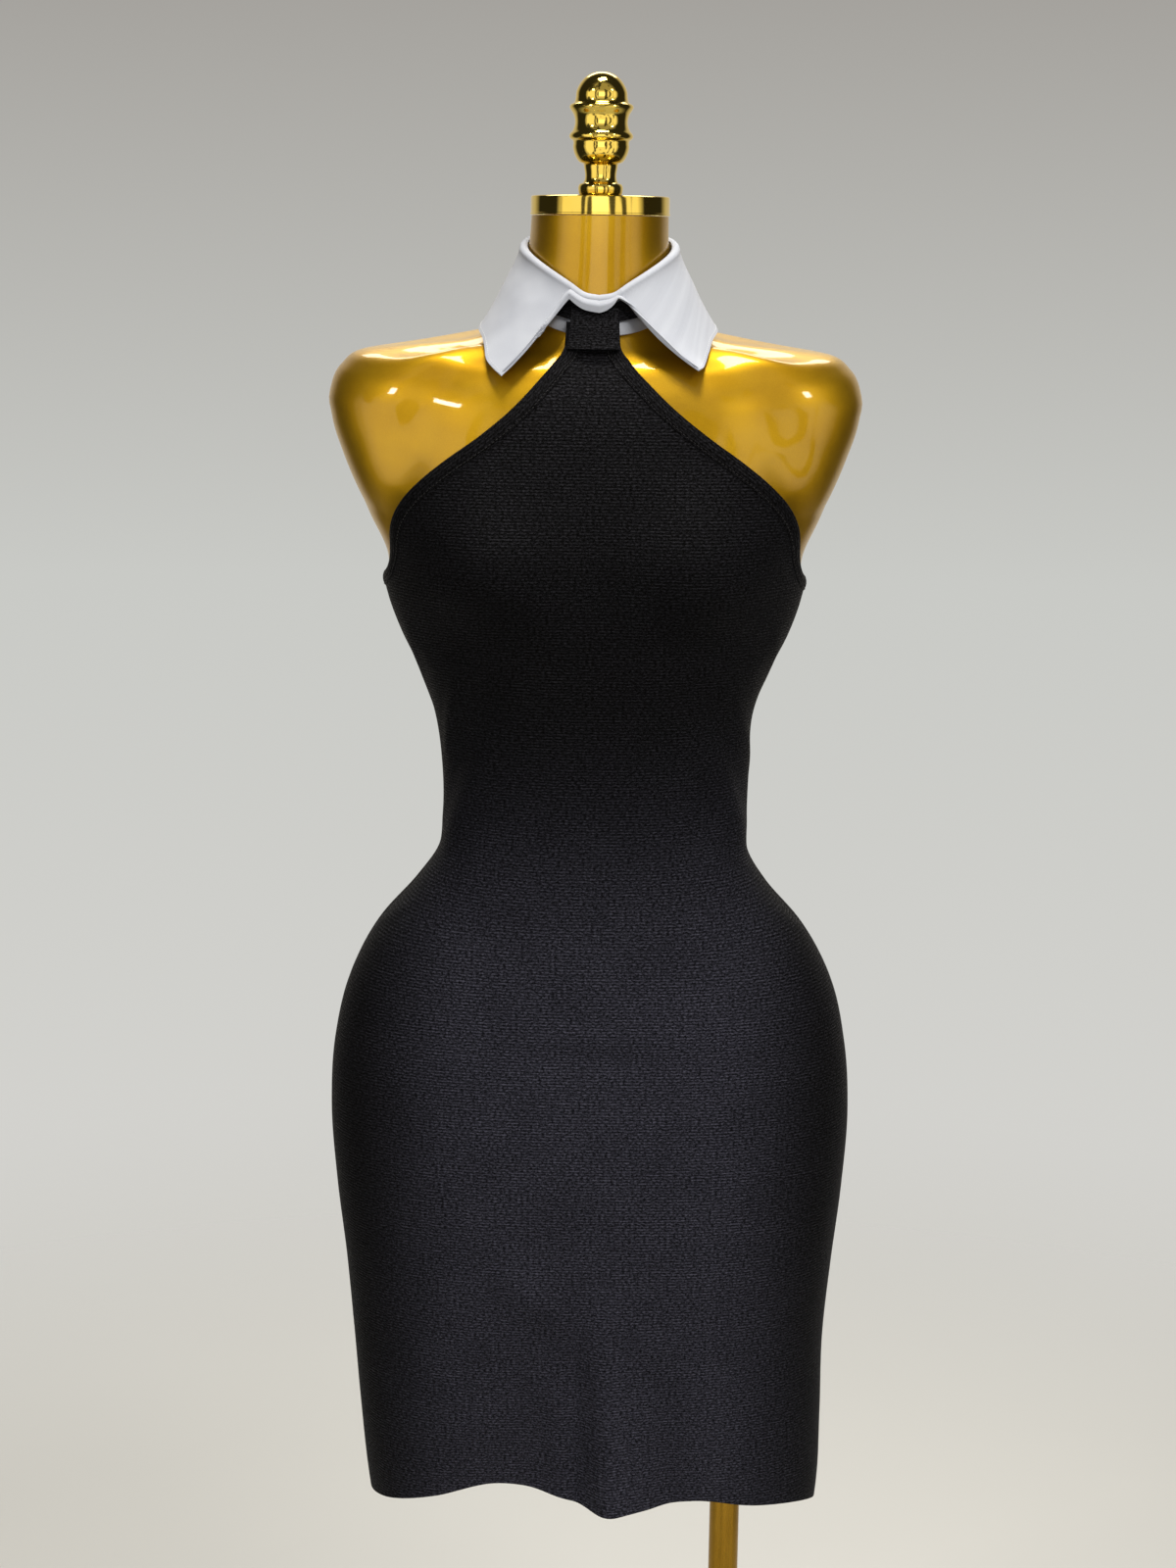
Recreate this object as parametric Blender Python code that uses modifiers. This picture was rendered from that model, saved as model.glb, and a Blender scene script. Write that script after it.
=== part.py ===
"""Halter bodycon dress with a white shirt collar, worn by a limbless gilt dress form on a pole stand.

The worn surface is one figure, given by a short table of levels.  The form is that figure, and
each knit panel is a wall laid just outside it, cut to its own outline.  A place on the figure is
a level, which is the height at the centre front, and a turn, which is the angle round from the
centre front towards +X.  Sizes are in millimetres and become metres when a mesh is made.
+Z is up, the front faces -Y, and the origin is on the floor under the middle of the base plate.
"""
import math

import bmesh
import bpy
import numpy as np

MM = 0.001

# Cloth.
KNIT = 2.0              # wall of the rib knit panels
BOUND_EDGE = 3.0        # wall of the folded edge binding
COLLAR_WALL = 1.5       # wall of the collar and of its black band
EASE = 1.8              # air between the form and the knit
SEAM_GAP = 0.3          # air between pieces that are sewn together
BINDING_WIDTH = 9.0
TAB_WIDTH = 34.0
PANEL_TOP = 1381.0      # top of the narrowed front, behind the tab
STAND_PASS = 3.4        # how far that top stands out, to pass over the collar stand
PASS_FROM = 1355.0      # level where it begins to stand out
PASS_OVER = 15.0        # height over which it does so

# The form and its stand.
FORM_FOOT = 622.0
FOOT_ROUNDING = ((0, 34), (3, 12), (10, 3))     # height above the foot, and how far the skin draws in
FORM_LEVELS = (1186, 1200, 1216, 1234, 1254, 1275, 1296, 1315, 1329, 1341, 1350, 1356, 1361,
               1367, 1376, 1392, 1410, 1432, 1456)
FORM_TUCK = 1.5         # how much slimmer the form is where the knit hides it
FORM_BUST = 0.8         # the form's bust, as a share of the bust that the knit shows
PLATE_RADIUS = 200.0
POLE_RADIUS = 11.5
POLE_X = 111.0

# How finely the pieces are divided.  The body levels run below the armholes and are the form's too.
BODY_LEVELS = (530, 560, 590, 622, 660, 700, 740, 780, 820, 855, 885, 910, 932, 952, 970, 990, 1015,
               1045, 1075, 1100, 1122, 1145, 1168)
TURN_STEP = 11.25       # degrees between columns of the form and of the skirt
PANEL_COLUMNS = 17
NECK_STEP = 9.0         # degrees between columns of the collar
TAB_COLUMNS_ACROSS = 7
BUTTON_SIDES = 20
ROUND_STEPS = 24        # sides of a turned piece
FALL_TURNS = (4, 9, 15, 18, 24, 32, 42, 54, 66, 78, 90, 105, 120, 135, 150, 165)

# The worn figure, from the hem to the top of the neck.
FIGURE_COLUMNS = ("front_z", "side_z", "back_z", "half_width", "front", "back",
                  "square_front", "square_back", "lean")
FIGURE = (
    (465, 465, 465, 167, 95, 90, 2.5, 2.3, 8),
    (500, 500, 500, 172, 97, 92, 2.5, 2.3, 7.5),
    (560, 560, 560, 175, 99, 97, 2.6, 2.3, 5),
    (620, 620, 620, 177, 101, 104, 2.6, 2.3, 2.5),
    (680, 680, 680, 181.5, 103, 115, 2.7, 2.3, 2),
    (740, 740, 740, 188, 104, 127, 2.7, 2.3, 1.5),
    (800, 800, 800, 191.5, 104, 132, 2.7, 2.3, 1),
    (850, 850, 850, 188, 102, 126, 2.7, 2.3, 0.5),
    (900, 900, 900, 175.5, 98, 112, 2.6, 2.3, 0.5),
    (937, 937, 937, 155, 92, 98, 2.5, 2.3, 0),
    (968, 968, 968, 128, 85, 86, 2.4, 2.3, 0),
    (993, 993, 993, 112, 79, 78, 2.3, 2.3, 1),
    (1020, 1020, 1020, 109.5, 75, 71, 2.2, 2.3, 2),
    (1060, 1060, 1060, 110, 76, 68, 2.2, 2.3, 2),
    (1100, 1100, 1100, 114, 82, 70, 2.2, 2.3, 0),
    (1131, 1131, 1131, 124.5, 89, 73, 2.2, 2.3, 0),
    (1160, 1160, 1160, 138.5, 95, 77, 2.2, 2.4, 0),
    (1193, 1193, 1193, 149, 101, 81, 2.2, 2.5, -0.5),
    (1216, 1216, 1216, 151, 104, 84, 2.3, 2.6, -0.5),
    (1244, 1244, 1244, 163.5, 103, 86, 2.4, 2.6, -1),
    (1287, 1287, 1287, 180, 98, 86, 2.5, 2.6, -1.5),
    (1315, 1315, 1316, 188.5, 92, 84, 2.6, 2.6, -1.5),
    (1329, 1331, 1336, 190.5, 87, 80, 2.6, 2.6, -1.5),
    (1341, 1350, 1352, 183, 80, 75, 2.5, 2.5, -1.5),
    (1350, 1361, 1366, 166, 74, 70, 2.4, 2.4, -1.5),
    (1356, 1364, 1378, 136, 69, 66, 2.3, 2.3, -1),
    (1361, 1368.5, 1388, 94, 66, 63, 2.2, 2.2, -1),
    (1367, 1378, 1397, 74, 63, 60, 2.1, 2.1, -1),
    (1376, 1397, 1408, 60, 59.5, 57.5, 2.0, 2.0, -1),
    (1392, 1415, 1420, 54, 56, 54.5, 2.0, 2.0, -1),
    (1425, 1436, 1438, 50, 51.5, 51, 2.0, 2.0, -0.5),
    (1456, 1456, 1456, 49, 49, 49, 2.0, 2.0, 0),
)

# The two rounds of the bust, which the knit bridges between.
BUST_X = 74.0
BUST_Z = 1206.0
BUST_RISE = 19.0
BUST_WIDE = 42.0
BUST_ABOVE = 58.0
BUST_BELOW = 36.0

# Main folds of the skirt: where each lies at the hem and at its upper end (degrees of turn),
# how high it reaches, how far it stands out (less than nothing is a trough) and its half width.
FOLD_BASE = 480.0
FOLD_COLUMNS = ("turn_hem", "turn_end", "end_z", "rise", "half_width")
FOLDS = (
    (6, 4, 640, 11, 24),
    (-24, -18, 615, -15, 30),
    (-50, -46, 640, 5, 30),
    (24, 20, 590, -5, 26),
    (52, 48, 650, 4, 34),
    (84, 84, 700, -4, 22),
    (-86, -86, 660, -3, 22),
    (118, 122, 640, 5, 34),
    (-122, -126, 660, 6, 34),
    (152, 150, 610, -8, 30),
    (-158, -154, 630, -6, 28),
    (-178, -180, 600, 6, 26),
)

# Hem: its level by the turn from the centre front, in degrees.
HEM_COLUMNS = ("turn", "level")
HEM = (
    (-180, 494),
    (-150, 493),
    (-120, 489),
    (-90, 490),
    (-57, 500),
    (-40, 512),
    (-24, 524),
    (-10, 519),
    (2, 510),
    (12, 512),
    (26, 515.5),
    (38, 509),
    (50, 504.5),
    (80, 488),
    (90, 486),
    (120, 487),
    (150, 492),
    (180, 494),
)

# Armhole edge of the front: level, and distance round the figure from the centre front.
ARMHOLE = (
    (1364, 18.5),
    (1354, 25.5),
    (1338, 40),
    (1321, 58),
    (1304, 79.5),
    (1288, 102.5),
    (1271, 126),
    (1256, 144.5),
    (1240, 160),
    (1222, 173),
    (1208, 185),
)
ARMHOLE_SEAM = 1198.0   # level of the armhole at the side seam
ARMHOLE_STATIONS = 20
BACK_EDGE = 1182.0      # level of the top edge at the centre back
BACK_DIP = 2.2          # how soon that edge drops from the side seam: more is sooner

# Collar, by the turn round the neck: the stand's foot and fold, then the falling leaf's edge.
STAND_COLUMNS = ("turn", "foot_z", "fold_z", "foot_radius", "fold_radius", "roll")
STAND = (
    (0, 1373, 1399, 62.5, 58.5, 8.2),
    (10, 1373.5, 1401, 62.5, 58.4, 8.0),
    (20, 1375, 1407.5, 62.5, 57.9, 7.4),
    (45, 1384, 1420.5, 62.5, 55.8, 6.2),
    (90, 1404, 1434.5, 60.5, 51.6, 7.0),
    (135, 1411, 1442, 59.0, 51.4, 8.0),
    (180, 1414, 1445, 58.5, 51.6, 11.4),
)
FALL_COLUMNS = ("turn", "edge_turn", "edge_radius", "edge_z")
FALL_LEFT = (
    (18, 39.5, 104, 1346),
    (32, 46, 102.5, 1355),
    (45, 52.5, 99, 1363),
    (66, 66, 91, 1373),
    (90, 90, 82, 1379.5),
    (120, 120, 77.5, 1387),
    (150, 150, 77, 1390),
    (181, 181, 78, 1391),
)
FALL_RIGHT = (
    (18, 40.5, 103, 1351),
    (32, 47, 100.5, 1355.5),
    (45, 53, 96, 1362),
    (66, 66, 88.5, 1372.5),
    (90, 90, 81, 1380),
    (120, 120, 77.5, 1387),
    (150, 150, 77, 1390),
    (181, 181, 78, 1391),
)
ROLL_DROP = 1.2         # the fall's roll springs from just below the stand's fold
ROLL_RISE = 2.4
ROLL_DEGREES = (130, 85, 40)            # places round the roll, from inside the neck to outside
FALL_SHARES = (0.0, 0.22, 0.48, 0.74, 1.0)
FALL_FLARE = 1.9        # how late the fall turns out from the neck: more is later
STRIP_TURN = 15.0       # half the narrow folded strip between the two points
STRIP_DROP = 9.5        # height of that strip
STRIP_RISE = {-1: 2.0, 1: 5.5}          # how much its edge rises towards its left and right ends
STRIP_OUT = 0.6         # how far its edge stands out from the roll
NECKBAND_ABOVE_FOOT = 10.0
NECKBAND_BELOW_FOLD = 5.0
BACK_SLIT = 1.0         # degrees from the centre back to each end of the collar
LAP_FROM = 171.0        # where the lapped end of the black band begins to lift
LAP_OVER = 5.0          # degrees over which it lifts
LAP_COLUMNS = (176, 183)
LAP_TURN = 190.0        # where the lapped end finishes
LAP_RISE = 1.9
BUTTON_RADIUS = 4.5
BUTTON_TAPER = 0.9
BUTTON_HEIGHT = 1.4

# Neck tab, by height: distance of its inner face from the neck's middle, and half its width.
TAB_COLUMNS = ("z", "radius", "half_width")
TAB = (
    (1364, 74.0, 18),
    (1371, 71.1, 17.6),
    (1381, 68.2, 17),
    (1387, 65.8, 16.6),
    (1392.5, 63.8, 16.4),
)

# Turned profiles, from the top down: radius, height above the piece's foot.
FINIAL = (
    (0, 86), (6, 85), (11.5, 82), (15.5, 77.5), (18, 72), (18.6, 67), (19.4, 64.5), (22.4, 62.5),
    (22.8, 61), (22, 59.5), (19.6, 55.5), (18.8, 50.5), (20.4, 45), (22.4, 42.5), (22.8, 41), (22.2, 39.5),
    (20.2, 38), (20, 33), (18.4, 27.5), (15.4, 23.2), (12.2, 21.4), (12, 20), (12, 10), (13, 8.6),
    (15, 8), (15.7, 6.8), (15.7, 2.4), (15.2, 0.8), (14.6, 0), (0, 0),
)
CAP = (
    (0, 13.6), (48.4, 13.6), (49.4, 13), (49.6, 12), (49.6, 1.8), (50, 1.5), (50, 0.5), (49.4, 0), (0, 0),
)
PLATE = (
    (0, 10), (PLATE_RADIUS - 15, 10), (PLATE_RADIUS - 6, 8.6), (PLATE_RADIUS - 1, 6),
    (PLATE_RADIUS, 3.5), (PLATE_RADIUS, 1.2), (PLATE_RADIUS - 1.2, 0), (0, 0),
)
FOOT_RING = (
    (11.8, 16), (14.5, 16), (15.6, 14.6), (16.2, 8), (20.5, 5.6), (27, 4.2), (28, 3), (28, 0), (11.8, 0),
)
SOCKET = (
    (0, 14), (26, 14), (26, 11), (24.6, 9.8), (17.5, 8.4), (16.4, 6), (16.2, 1), (15.4, 0), (0, 0),
)


def curve_through(table, columns):
    """Return a function that reads every column of a table on one smooth curve through its rows."""
    rows = np.array(table, dtype=float)
    at = rows[:, 0]
    slopes = np.gradient(rows, at, axis=0)

    def read(place):
        place = np.clip(np.asarray(place, dtype=float), at[0], at[-1])
        i = np.clip(np.searchsorted(at, place, side="right") - 1, 0, len(at) - 2)
        step = (at[i + 1] - at[i])[..., None]
        u = (place - at[i])[..., None] / step
        value = (
            rows[i] * (2 * u**3 - 3 * u**2 + 1)
            + slopes[i] * step * (u**3 - 2 * u**2 + u)
            + rows[i + 1] * (3 * u**2 - 2 * u**3)
            + slopes[i + 1] * step * (u**3 - u**2)
        )
        return dict(zip(columns, np.moveaxis(value, -1, 0)))

    return read


figure_row = curve_through(FIGURE, FIGURE_COLUMNS)
stand_row = curve_through(STAND, STAND_COLUMNS)
fall_rows = {-1: curve_through(FALL_LEFT, FALL_COLUMNS), 1: curve_through(FALL_RIGHT, FALL_COLUMNS)}
hem_row = curve_through(HEM, HEM_COLUMNS)


def bump(distance, half_width):
    """Soft rise of one at no distance, nearly nothing past two half widths."""
    return np.exp(-(distance / half_width) ** 2)


def figure_points(turns, level, out=0.0, bust_share=1.0):
    """Points of the figure at some turns (radians) of one level, moved out of the skin."""
    row = figure_row(level)
    turns = np.asarray(turns, dtype=float)
    s, c = np.sin(turns), np.cos(turns)
    facing = c >= 0
    square = np.where(facing, row["square_front"], row["square_back"])
    deep = np.where(facing, row["front"], row["back"])
    swell = (np.abs(s) ** square + np.abs(c) ** square) ** (-1 / square)
    across, along = swell * s, -swell * c
    normal = np.stack([
        np.sign(across) * np.abs(across) ** (square - 1) / row["half_width"],
        np.sign(along) * np.abs(along) ** (square - 1) / deep,
    ], axis=-1)
    normal /= np.linalg.norm(normal, axis=-1, keepdims=True)
    end_z = np.where(facing, row["front_z"], row["back_z"])
    x = row["half_width"] * across
    y = deep * along
    z = end_z + (row["side_z"] - end_z) * s**2
    reach_z = np.where(z > BUST_Z, BUST_ABOVE, BUST_BELOW)
    bust = BUST_RISE * (bump(x - BUST_X, BUST_WIDE) + bump(x + BUST_X, BUST_WIDE))
    out = out + bust_share * bust * bump(z - BUST_Z, reach_z) * np.clip(c * 3, 0, 1)
    return np.stack([x + row["lean"] + normal[..., 0] * out, y + normal[..., 1] * out, z], axis=-1)


FINE_TURNS = np.radians(np.linspace(-180, 180, 721))
SEAM_TURN = math.radians(89.9)          # a panel's own side of the side seam


def reaches(level):
    """Distances round the figure from the centre front to each of the fine turns."""
    points = figure_points(FINE_TURNS, level, EASE)
    steps = np.linalg.norm(np.diff(points, axis=0), axis=1)
    lengths = np.concatenate([[0], np.cumsum(steps)])
    return lengths - lengths[len(lengths) // 2]


def reach_to_turn(level, reach):
    """Turn of the place that lies at a distance round the figure from the centre front."""
    return np.interp(reach, reaches(level), FINE_TURNS)


def turn_to_reach(level, turn):
    """Distance round the figure from the centre front to a turn."""
    return np.interp(turn, FINE_TURNS, reaches(level))


def fold_rise(turns, level):
    """How far the skirt's main folds move the knit out at some turns of one level."""
    rise = np.zeros_like(turns)
    row = figure_row(level)
    radius = (row["half_width"] + row["front"]) / 2
    for fold in FOLDS:
        fold = dict(zip(FOLD_COLUMNS, fold))
        up = np.clip((level - FOLD_BASE) / (fold["end_z"] - FOLD_BASE), 0, 1)
        strength = (1 - up) ** 1.5
        middle = math.radians(fold["turn_hem"] + (fold["turn_end"] - fold["turn_hem"]) * up)
        apart = (turns - middle + math.pi) % (2 * math.pi) - math.pi
        rise += fold["rise"] * strength * bump(apart * radius, fold["half_width"])
    return rise


def over_collar(level):
    """How far the top of the front panel stands out to pass over the collar stand's foot."""
    return STAND_PASS * min(max((level - PASS_FROM) / PASS_OVER, 0), 1)


def knit_points(turns, level):
    """Inner face of the knit at some turns (radians) of one level."""
    turns = np.asarray(turns, dtype=float)
    return figure_points(turns, level, EASE + over_collar(level) + fold_rise(turns, level))


def hem_level(turn):
    """Level of the hem at a turn (radians)."""
    return float(hem_row(math.degrees(turn))["level"])


def armhole_edge():
    """Armhole edge of the front at even stations from the neck to the side seam.

    Returns the reach and level of each station, and the direction there into the panel.
    """
    neck = [(TAB_WIDTH / 2 - 0.5, PANEL_TOP), (TAB_WIDTH / 2, PANEL_TOP - 7)]
    seam = [(float(turn_to_reach(ARMHOLE_SEAM, math.pi / 2)), ARMHOLE_SEAM)]
    edge = np.array(neck + [(reach, level) for level, reach in ARMHOLE] + seam)
    lengths = np.concatenate([[0], np.cumsum(np.linalg.norm(np.diff(edge, axis=0), axis=1))])
    read = curve_through(np.column_stack([lengths, edge]), ("length", "reach", "level"))
    fine = read(np.linspace(0, lengths[-1], 8 * ARMHOLE_STATIONS + 1))
    edge = np.column_stack([fine["reach"], fine["level"]])
    along = np.gradient(edge, axis=0)
    along /= np.linalg.norm(along, axis=1, keepdims=True)
    inward = np.column_stack([along[:, 1], -along[:, 0]])
    return edge[::8], inward[::8]


def armhole_points(inset, side):
    """Points of the knit along the armhole edge moved into the panel, neck first, with levels."""
    edge, inward = armhole_edge()
    line = edge + inward * inset
    line[0, 1] = PANEL_TOP
    points = []
    for i, (reach, level) in enumerate(line):
        seam = float(turn_to_reach(level, math.pi / 2)) - SEAM_GAP / 2
        reach = seam if i == len(line) - 1 else min(reach, seam)
        turn = float(reach_to_turn(level, reach)) * side
        points.append((turn, level))
    return points


def new_object(name, mesh, material, collection):
    made = bpy.data.objects.new(name, mesh)
    made.data.materials.append(material)
    collection.objects.link(made)
    return made


def grid_object(name, grid, wall, material, collection):
    """A wall whose inner face is a grid of points, rows running up, columns towards +X."""
    rows, columns, _ = grid.shape
    vertices = [tuple(point) for point in (grid.reshape(-1, 3) * MM)]
    faces = [
        (r * columns + c, r * columns + c + 1, (r + 1) * columns + c + 1, (r + 1) * columns + c)
        for r in range(rows - 1)
        for c in range(columns - 1)
    ]
    mesh = bpy.data.meshes.new(name)
    mesh.from_pydata(vertices, [], faces)
    mesh.validate()
    made = new_object(name, mesh, material, collection)
    solidify = made.modifiers.new("Wall", "SOLIDIFY")
    solidify.thickness = wall * MM
    solidify.offset = 1.0
    solidify.use_even_offset = True
    mesh.shade_smooth()
    return made


def turned_object(name, profile, x, z, material, collection):
    """A turned piece: its profile runs down the +X side and is swept once round."""
    mesh = bpy.data.meshes.new(name)
    points = [(radius * MM, 0, height * MM) for radius, height in profile]
    closed = profile[0][0] > 0
    edges = [(i, i + 1) for i in range(len(points) - 1)]
    if closed:
        edges.append((len(points) - 1, 0))
    mesh.from_pydata(points, edges, [])
    made = new_object(name, mesh, material, collection)
    made.location = (x * MM, 0, z * MM)
    screw = made.modifiers.new("Turn", "SCREW")
    screw.axis = "Z"
    screw.steps = ROUND_STEPS
    screw.render_steps = ROUND_STEPS
    screw.use_merge_vertices = True
    screw.merge_threshold = 0.0001
    screw.use_smooth_shade = True
    return made


def painted(name, colour, roughness, metallic):
    """A Principled material with one colour."""
    material = bpy.data.materials.new(name)
    material.use_nodes = True
    shader = material.node_tree.nodes["Principled BSDF"]
    shader.inputs["Base Color"].default_value = (*colour, 1)
    shader.inputs["Roughness"].default_value = roughness
    shader.inputs["Metallic"].default_value = metallic
    material.diffuse_color = (*colour, 1)
    return material


def dress_front(material, collection):
    """Front panel: skirt and bodice to the side seams, then narrowed between the armholes."""
    columns = np.linspace(-1, 1, PANEL_COLUMNS)
    hem_turns = columns * SEAM_TURN
    grid = [np.array([knit_points([turn], hem_level(turn))[0] for turn in hem_turns])]
    for level in BODY_LEVELS:
        seam = float(turn_to_reach(level, math.pi / 2)) - SEAM_GAP / 2
        grid.append(knit_points(columns * float(reach_to_turn(level, seam)), level))
    for side_turn, level in armhole_points(BINDING_WIDTH + SEAM_GAP, 1)[::-1]:
        grid.append(knit_points(columns * side_turn, level))
    return grid_object("dress_front", np.array(grid), KNIT, material, collection)


def bent(turn):
    """The same turn counted from the centre front the shorter way."""
    return (turn + math.pi) % (2 * math.pi) - math.pi


def back_edge_level(turn):
    """Level of the back's top edge at a turn, from the side seam to the centre back."""
    past = np.clip((np.abs(turn) - math.pi / 2) / (math.pi / 2), 0, 1)
    return BACK_EDGE + (ARMHOLE_SEAM - BACK_EDGE) * (1 - past) ** BACK_DIP


def back_line(turns, drop):
    """Points of the knit at a drop below the back's top edge."""
    points = []
    for turn in turns:
        points.append(knit_points([turn], float(back_edge_level(bent(turn))) - drop)[0])
    return points


def dress_back(material, collection):
    """Back panel, from side seam to side seam round the centre back."""
    grid = []
    around = np.linspace(math.pi - SEAM_TURN, math.pi + SEAM_TURN, PANEL_COLUMNS)
    grid.append([knit_points([turn], hem_level(bent(turn)))[0] for turn in around])
    for level in BODY_LEVELS:
        seam = float(turn_to_reach(level, math.pi / 2)) + SEAM_GAP / 2
        side = float(reach_to_turn(level, seam))
        grid.append(knit_points(np.linspace(side, 2 * math.pi - side, PANEL_COLUMNS), level))
    grid.append(back_line(around, BINDING_WIDTH + SEAM_GAP))
    return grid_object("dress_back", np.array(grid), KNIT, material, collection)


def edge_binding(name, side, material, collection):
    """Folded binding along one armhole edge of the front, from under the tab to the side seam."""
    lines = [armhole_points(inset, side) for inset in (BINDING_WIDTH, BINDING_WIDTH / 2, 0.0)]
    if side < 0:
        lines.reverse()
    grid = [[knit_points([line[i][0]], line[i][1])[0] for line in lines]
            for i in reversed(range(len(lines[0])))]
    return grid_object(name, np.array(grid), BOUND_EDGE, material, collection)


def back_binding(material, collection):
    """Folded binding along the top edge of the back."""
    around = np.linspace(math.pi - SEAM_TURN, math.pi + SEAM_TURN, PANEL_COLUMNS)
    grid = [back_line(around, drop) for drop in (BINDING_WIDTH, BINDING_WIDTH / 2, 0.0)]
    return grid_object("edge_binding_back", np.array(grid), BOUND_EDGE, material, collection)


def round_neck(turn, radius, z):
    """Point at a turn (degrees) round the neck, towards +X."""
    angle = math.radians(turn)
    return (radius * math.sin(angle), -radius * math.cos(angle), z)


def stand_near(turn):
    """Row of the stand at a turn (degrees), the same on both sides."""
    return stand_row(abs(turn) if abs(turn) <= 180 else 360 - abs(turn))


def stand_at(turn, share, out):
    """Point on the collar stand: share 0 is its foot and 1 its fold."""
    row = stand_near(turn)
    radius = row["foot_radius"] + (row["fold_radius"] - row["foot_radius"]) * share
    z = row["foot_z"] + (row["fold_z"] - row["foot_z"]) * share
    return round_neck(turn, float(radius) + out, float(z))


def neck_turns():
    """Turns of the collar's columns, short of the centre back."""
    return np.arange(-180 + NECK_STEP, 180, NECK_STEP)


def collar_stand(material, collection):
    """White stand round the neck, slit at the centre back."""
    turns = [-180 + BACK_SLIT, *neck_turns(), 180 - BACK_SLIT]
    grid = [[stand_at(turn, share, 0.0) for turn in turns] for share in (0.0, 0.5, 1.0)]
    return grid_object("collar_stand", np.array(grid), COLLAR_WALL, material, collection)


def neckband(material, collection):
    """Black band over the stand, with one end lapped over the other at the centre back."""
    turns = [-180 + BACK_SLIT, *neck_turns(), *LAP_COLUMNS, LAP_TURN]
    grid = []
    for top in (False, True):
        row = []
        for turn in turns:
            near = stand_near(turn)
            height = float(near["fold_z"] - near["foot_z"])
            share = 1 - NECKBAND_BELOW_FOLD / height if top else NECKBAND_ABOVE_FOOT / height
            lap = LAP_RISE * min(max((turn - LAP_FROM) / LAP_OVER, 0), 1)
            row.append(stand_at(turn, share, COLLAR_WALL + SEAM_GAP + lap))
        grid.append(row)
    return grid_object("neckband", np.array(grid), COLLAR_WALL, material, collection)


def neckband_button(material, collection):
    """Small flat button on the lapped end of the band."""
    turn = (180 + LAP_TURN) / 2
    out = 2 * COLLAR_WALL + 2 * SEAM_GAP + LAP_RISE + BUTTON_HEIGHT / 2
    centre = np.array(stand_at(turn, 0.5, out))
    rise = np.array(stand_at(turn, 1.0, out)) - np.array(stand_at(turn, 0.0, out))
    slope = math.atan2(math.hypot(rise[0], rise[1]), rise[2])
    mesh = bpy.data.meshes.new("neckband_button")
    shape = bmesh.new()
    bmesh.ops.create_cone(shape, cap_ends=True, segments=BUTTON_SIDES, radius1=BUTTON_RADIUS * MM,
                          radius2=BUTTON_RADIUS * BUTTON_TAPER * MM, depth=BUTTON_HEIGHT * MM)
    shape.to_mesh(mesh)
    shape.free()
    made = new_object("neckband_button", mesh, material, collection)
    made.location = tuple(centre * MM)
    made.rotation_euler = (math.pi / 2 - slope, 0, math.radians(turn))
    return made


def fall_column(turn):
    """One line of the fall from the fold to its edge, as a run of points, at a turn of the fold."""
    side = -1 if turn < 0 else 1
    turn = abs(turn)
    near = stand_row(turn)
    roll = float(near["roll"])
    fold_radius, fold_z = float(near["fold_radius"]), float(near["fold_z"])
    if turn <= STRIP_TURN:
        drop = STRIP_DROP - STRIP_RISE[side] * (turn / STRIP_TURN) ** 2
        edge_turn, edge_radius, edge_z = turn, fold_radius + roll + STRIP_OUT, fold_z - drop
    else:
        edge = fall_rows[side](turn)
        edge_turn, edge_radius, edge_z = (float(edge[key]) for key in FALL_COLUMNS[1:])
    column = []
    for degrees in ROLL_DEGREES:
        angle = math.radians(degrees)
        radius = fold_radius + roll / 2 * (1 + math.cos(angle))
        z = fold_z - ROLL_DROP + ROLL_RISE * math.sin(angle)
        column.append(round_neck(side * turn, radius, z))
    for share in FALL_SHARES:
        radius = fold_radius + roll + (edge_radius - fold_radius - roll) * share ** FALL_FLARE
        z = fold_z - ROLL_DROP + (edge_z - fold_z + ROLL_DROP) * share
        column.append(round_neck(side * (turn + (edge_turn - turn) * share), radius, z))
    return column[::-1]


def collar_fall(material, collection):
    """White fall with two long points, one narrow strip between them, slit at the centre back."""
    half = [*FALL_TURNS, 180 - BACK_SLIT]
    turns = [-turn for turn in half[::-1]] + [0] + half
    grid = np.array([fall_column(turn) for turn in turns])
    return grid_object("collar_fall", grid.transpose(1, 0, 2), COLLAR_WALL, material, collection)


def neck_tab(material, collection):
    """Black tab over the band at the centre front, down to the top of the front panel."""
    grid = []
    for z, radius, half_width in TAB:
        spread = np.degrees(np.linspace(-half_width, half_width, TAB_COLUMNS_ACROSS) / radius)
        grid.append([round_neck(turn, radius, z) for turn in spread])
    return grid_object("neck_tab", np.array(grid), COLLAR_WALL, material, collection)


def form_body(material, collection):
    """Torso and neck of the form in one closed moulding, without arms, legs or head."""
    turns = np.radians(np.arange(-180, 180, TURN_STEP))
    shape = bmesh.new()
    rings = []
    sections = [(FORM_FOOT + above, inset) for above, inset in FOOT_ROUNDING]
    sections += [(level, 0) for level in BODY_LEVELS if level > FORM_FOOT]
    for level, inset in sections:
        points = figure_points(turns, level, -inset - FORM_TUCK, FORM_BUST)
        rings.append([shape.verts.new(tuple(point * MM)) for point in points])
    for level in FORM_LEVELS:
        points = figure_points(turns, level, 0.0, FORM_BUST)
        rings.append([shape.verts.new(tuple(point * MM)) for point in points])
    for low, high in zip(rings, rings[1:]):
        for i in range(len(low)):
            j = (i + 1) % len(low)
            shape.faces.new((low[i], low[j], high[j], high[i]))
    shape.faces.new(rings[0][::-1])
    shape.faces.new(rings[-1])
    mesh = bpy.data.meshes.new("form_body")
    shape.to_mesh(mesh)
    shape.free()
    mesh.shade_smooth()
    return new_object("form_body", mesh, material, collection)


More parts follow.
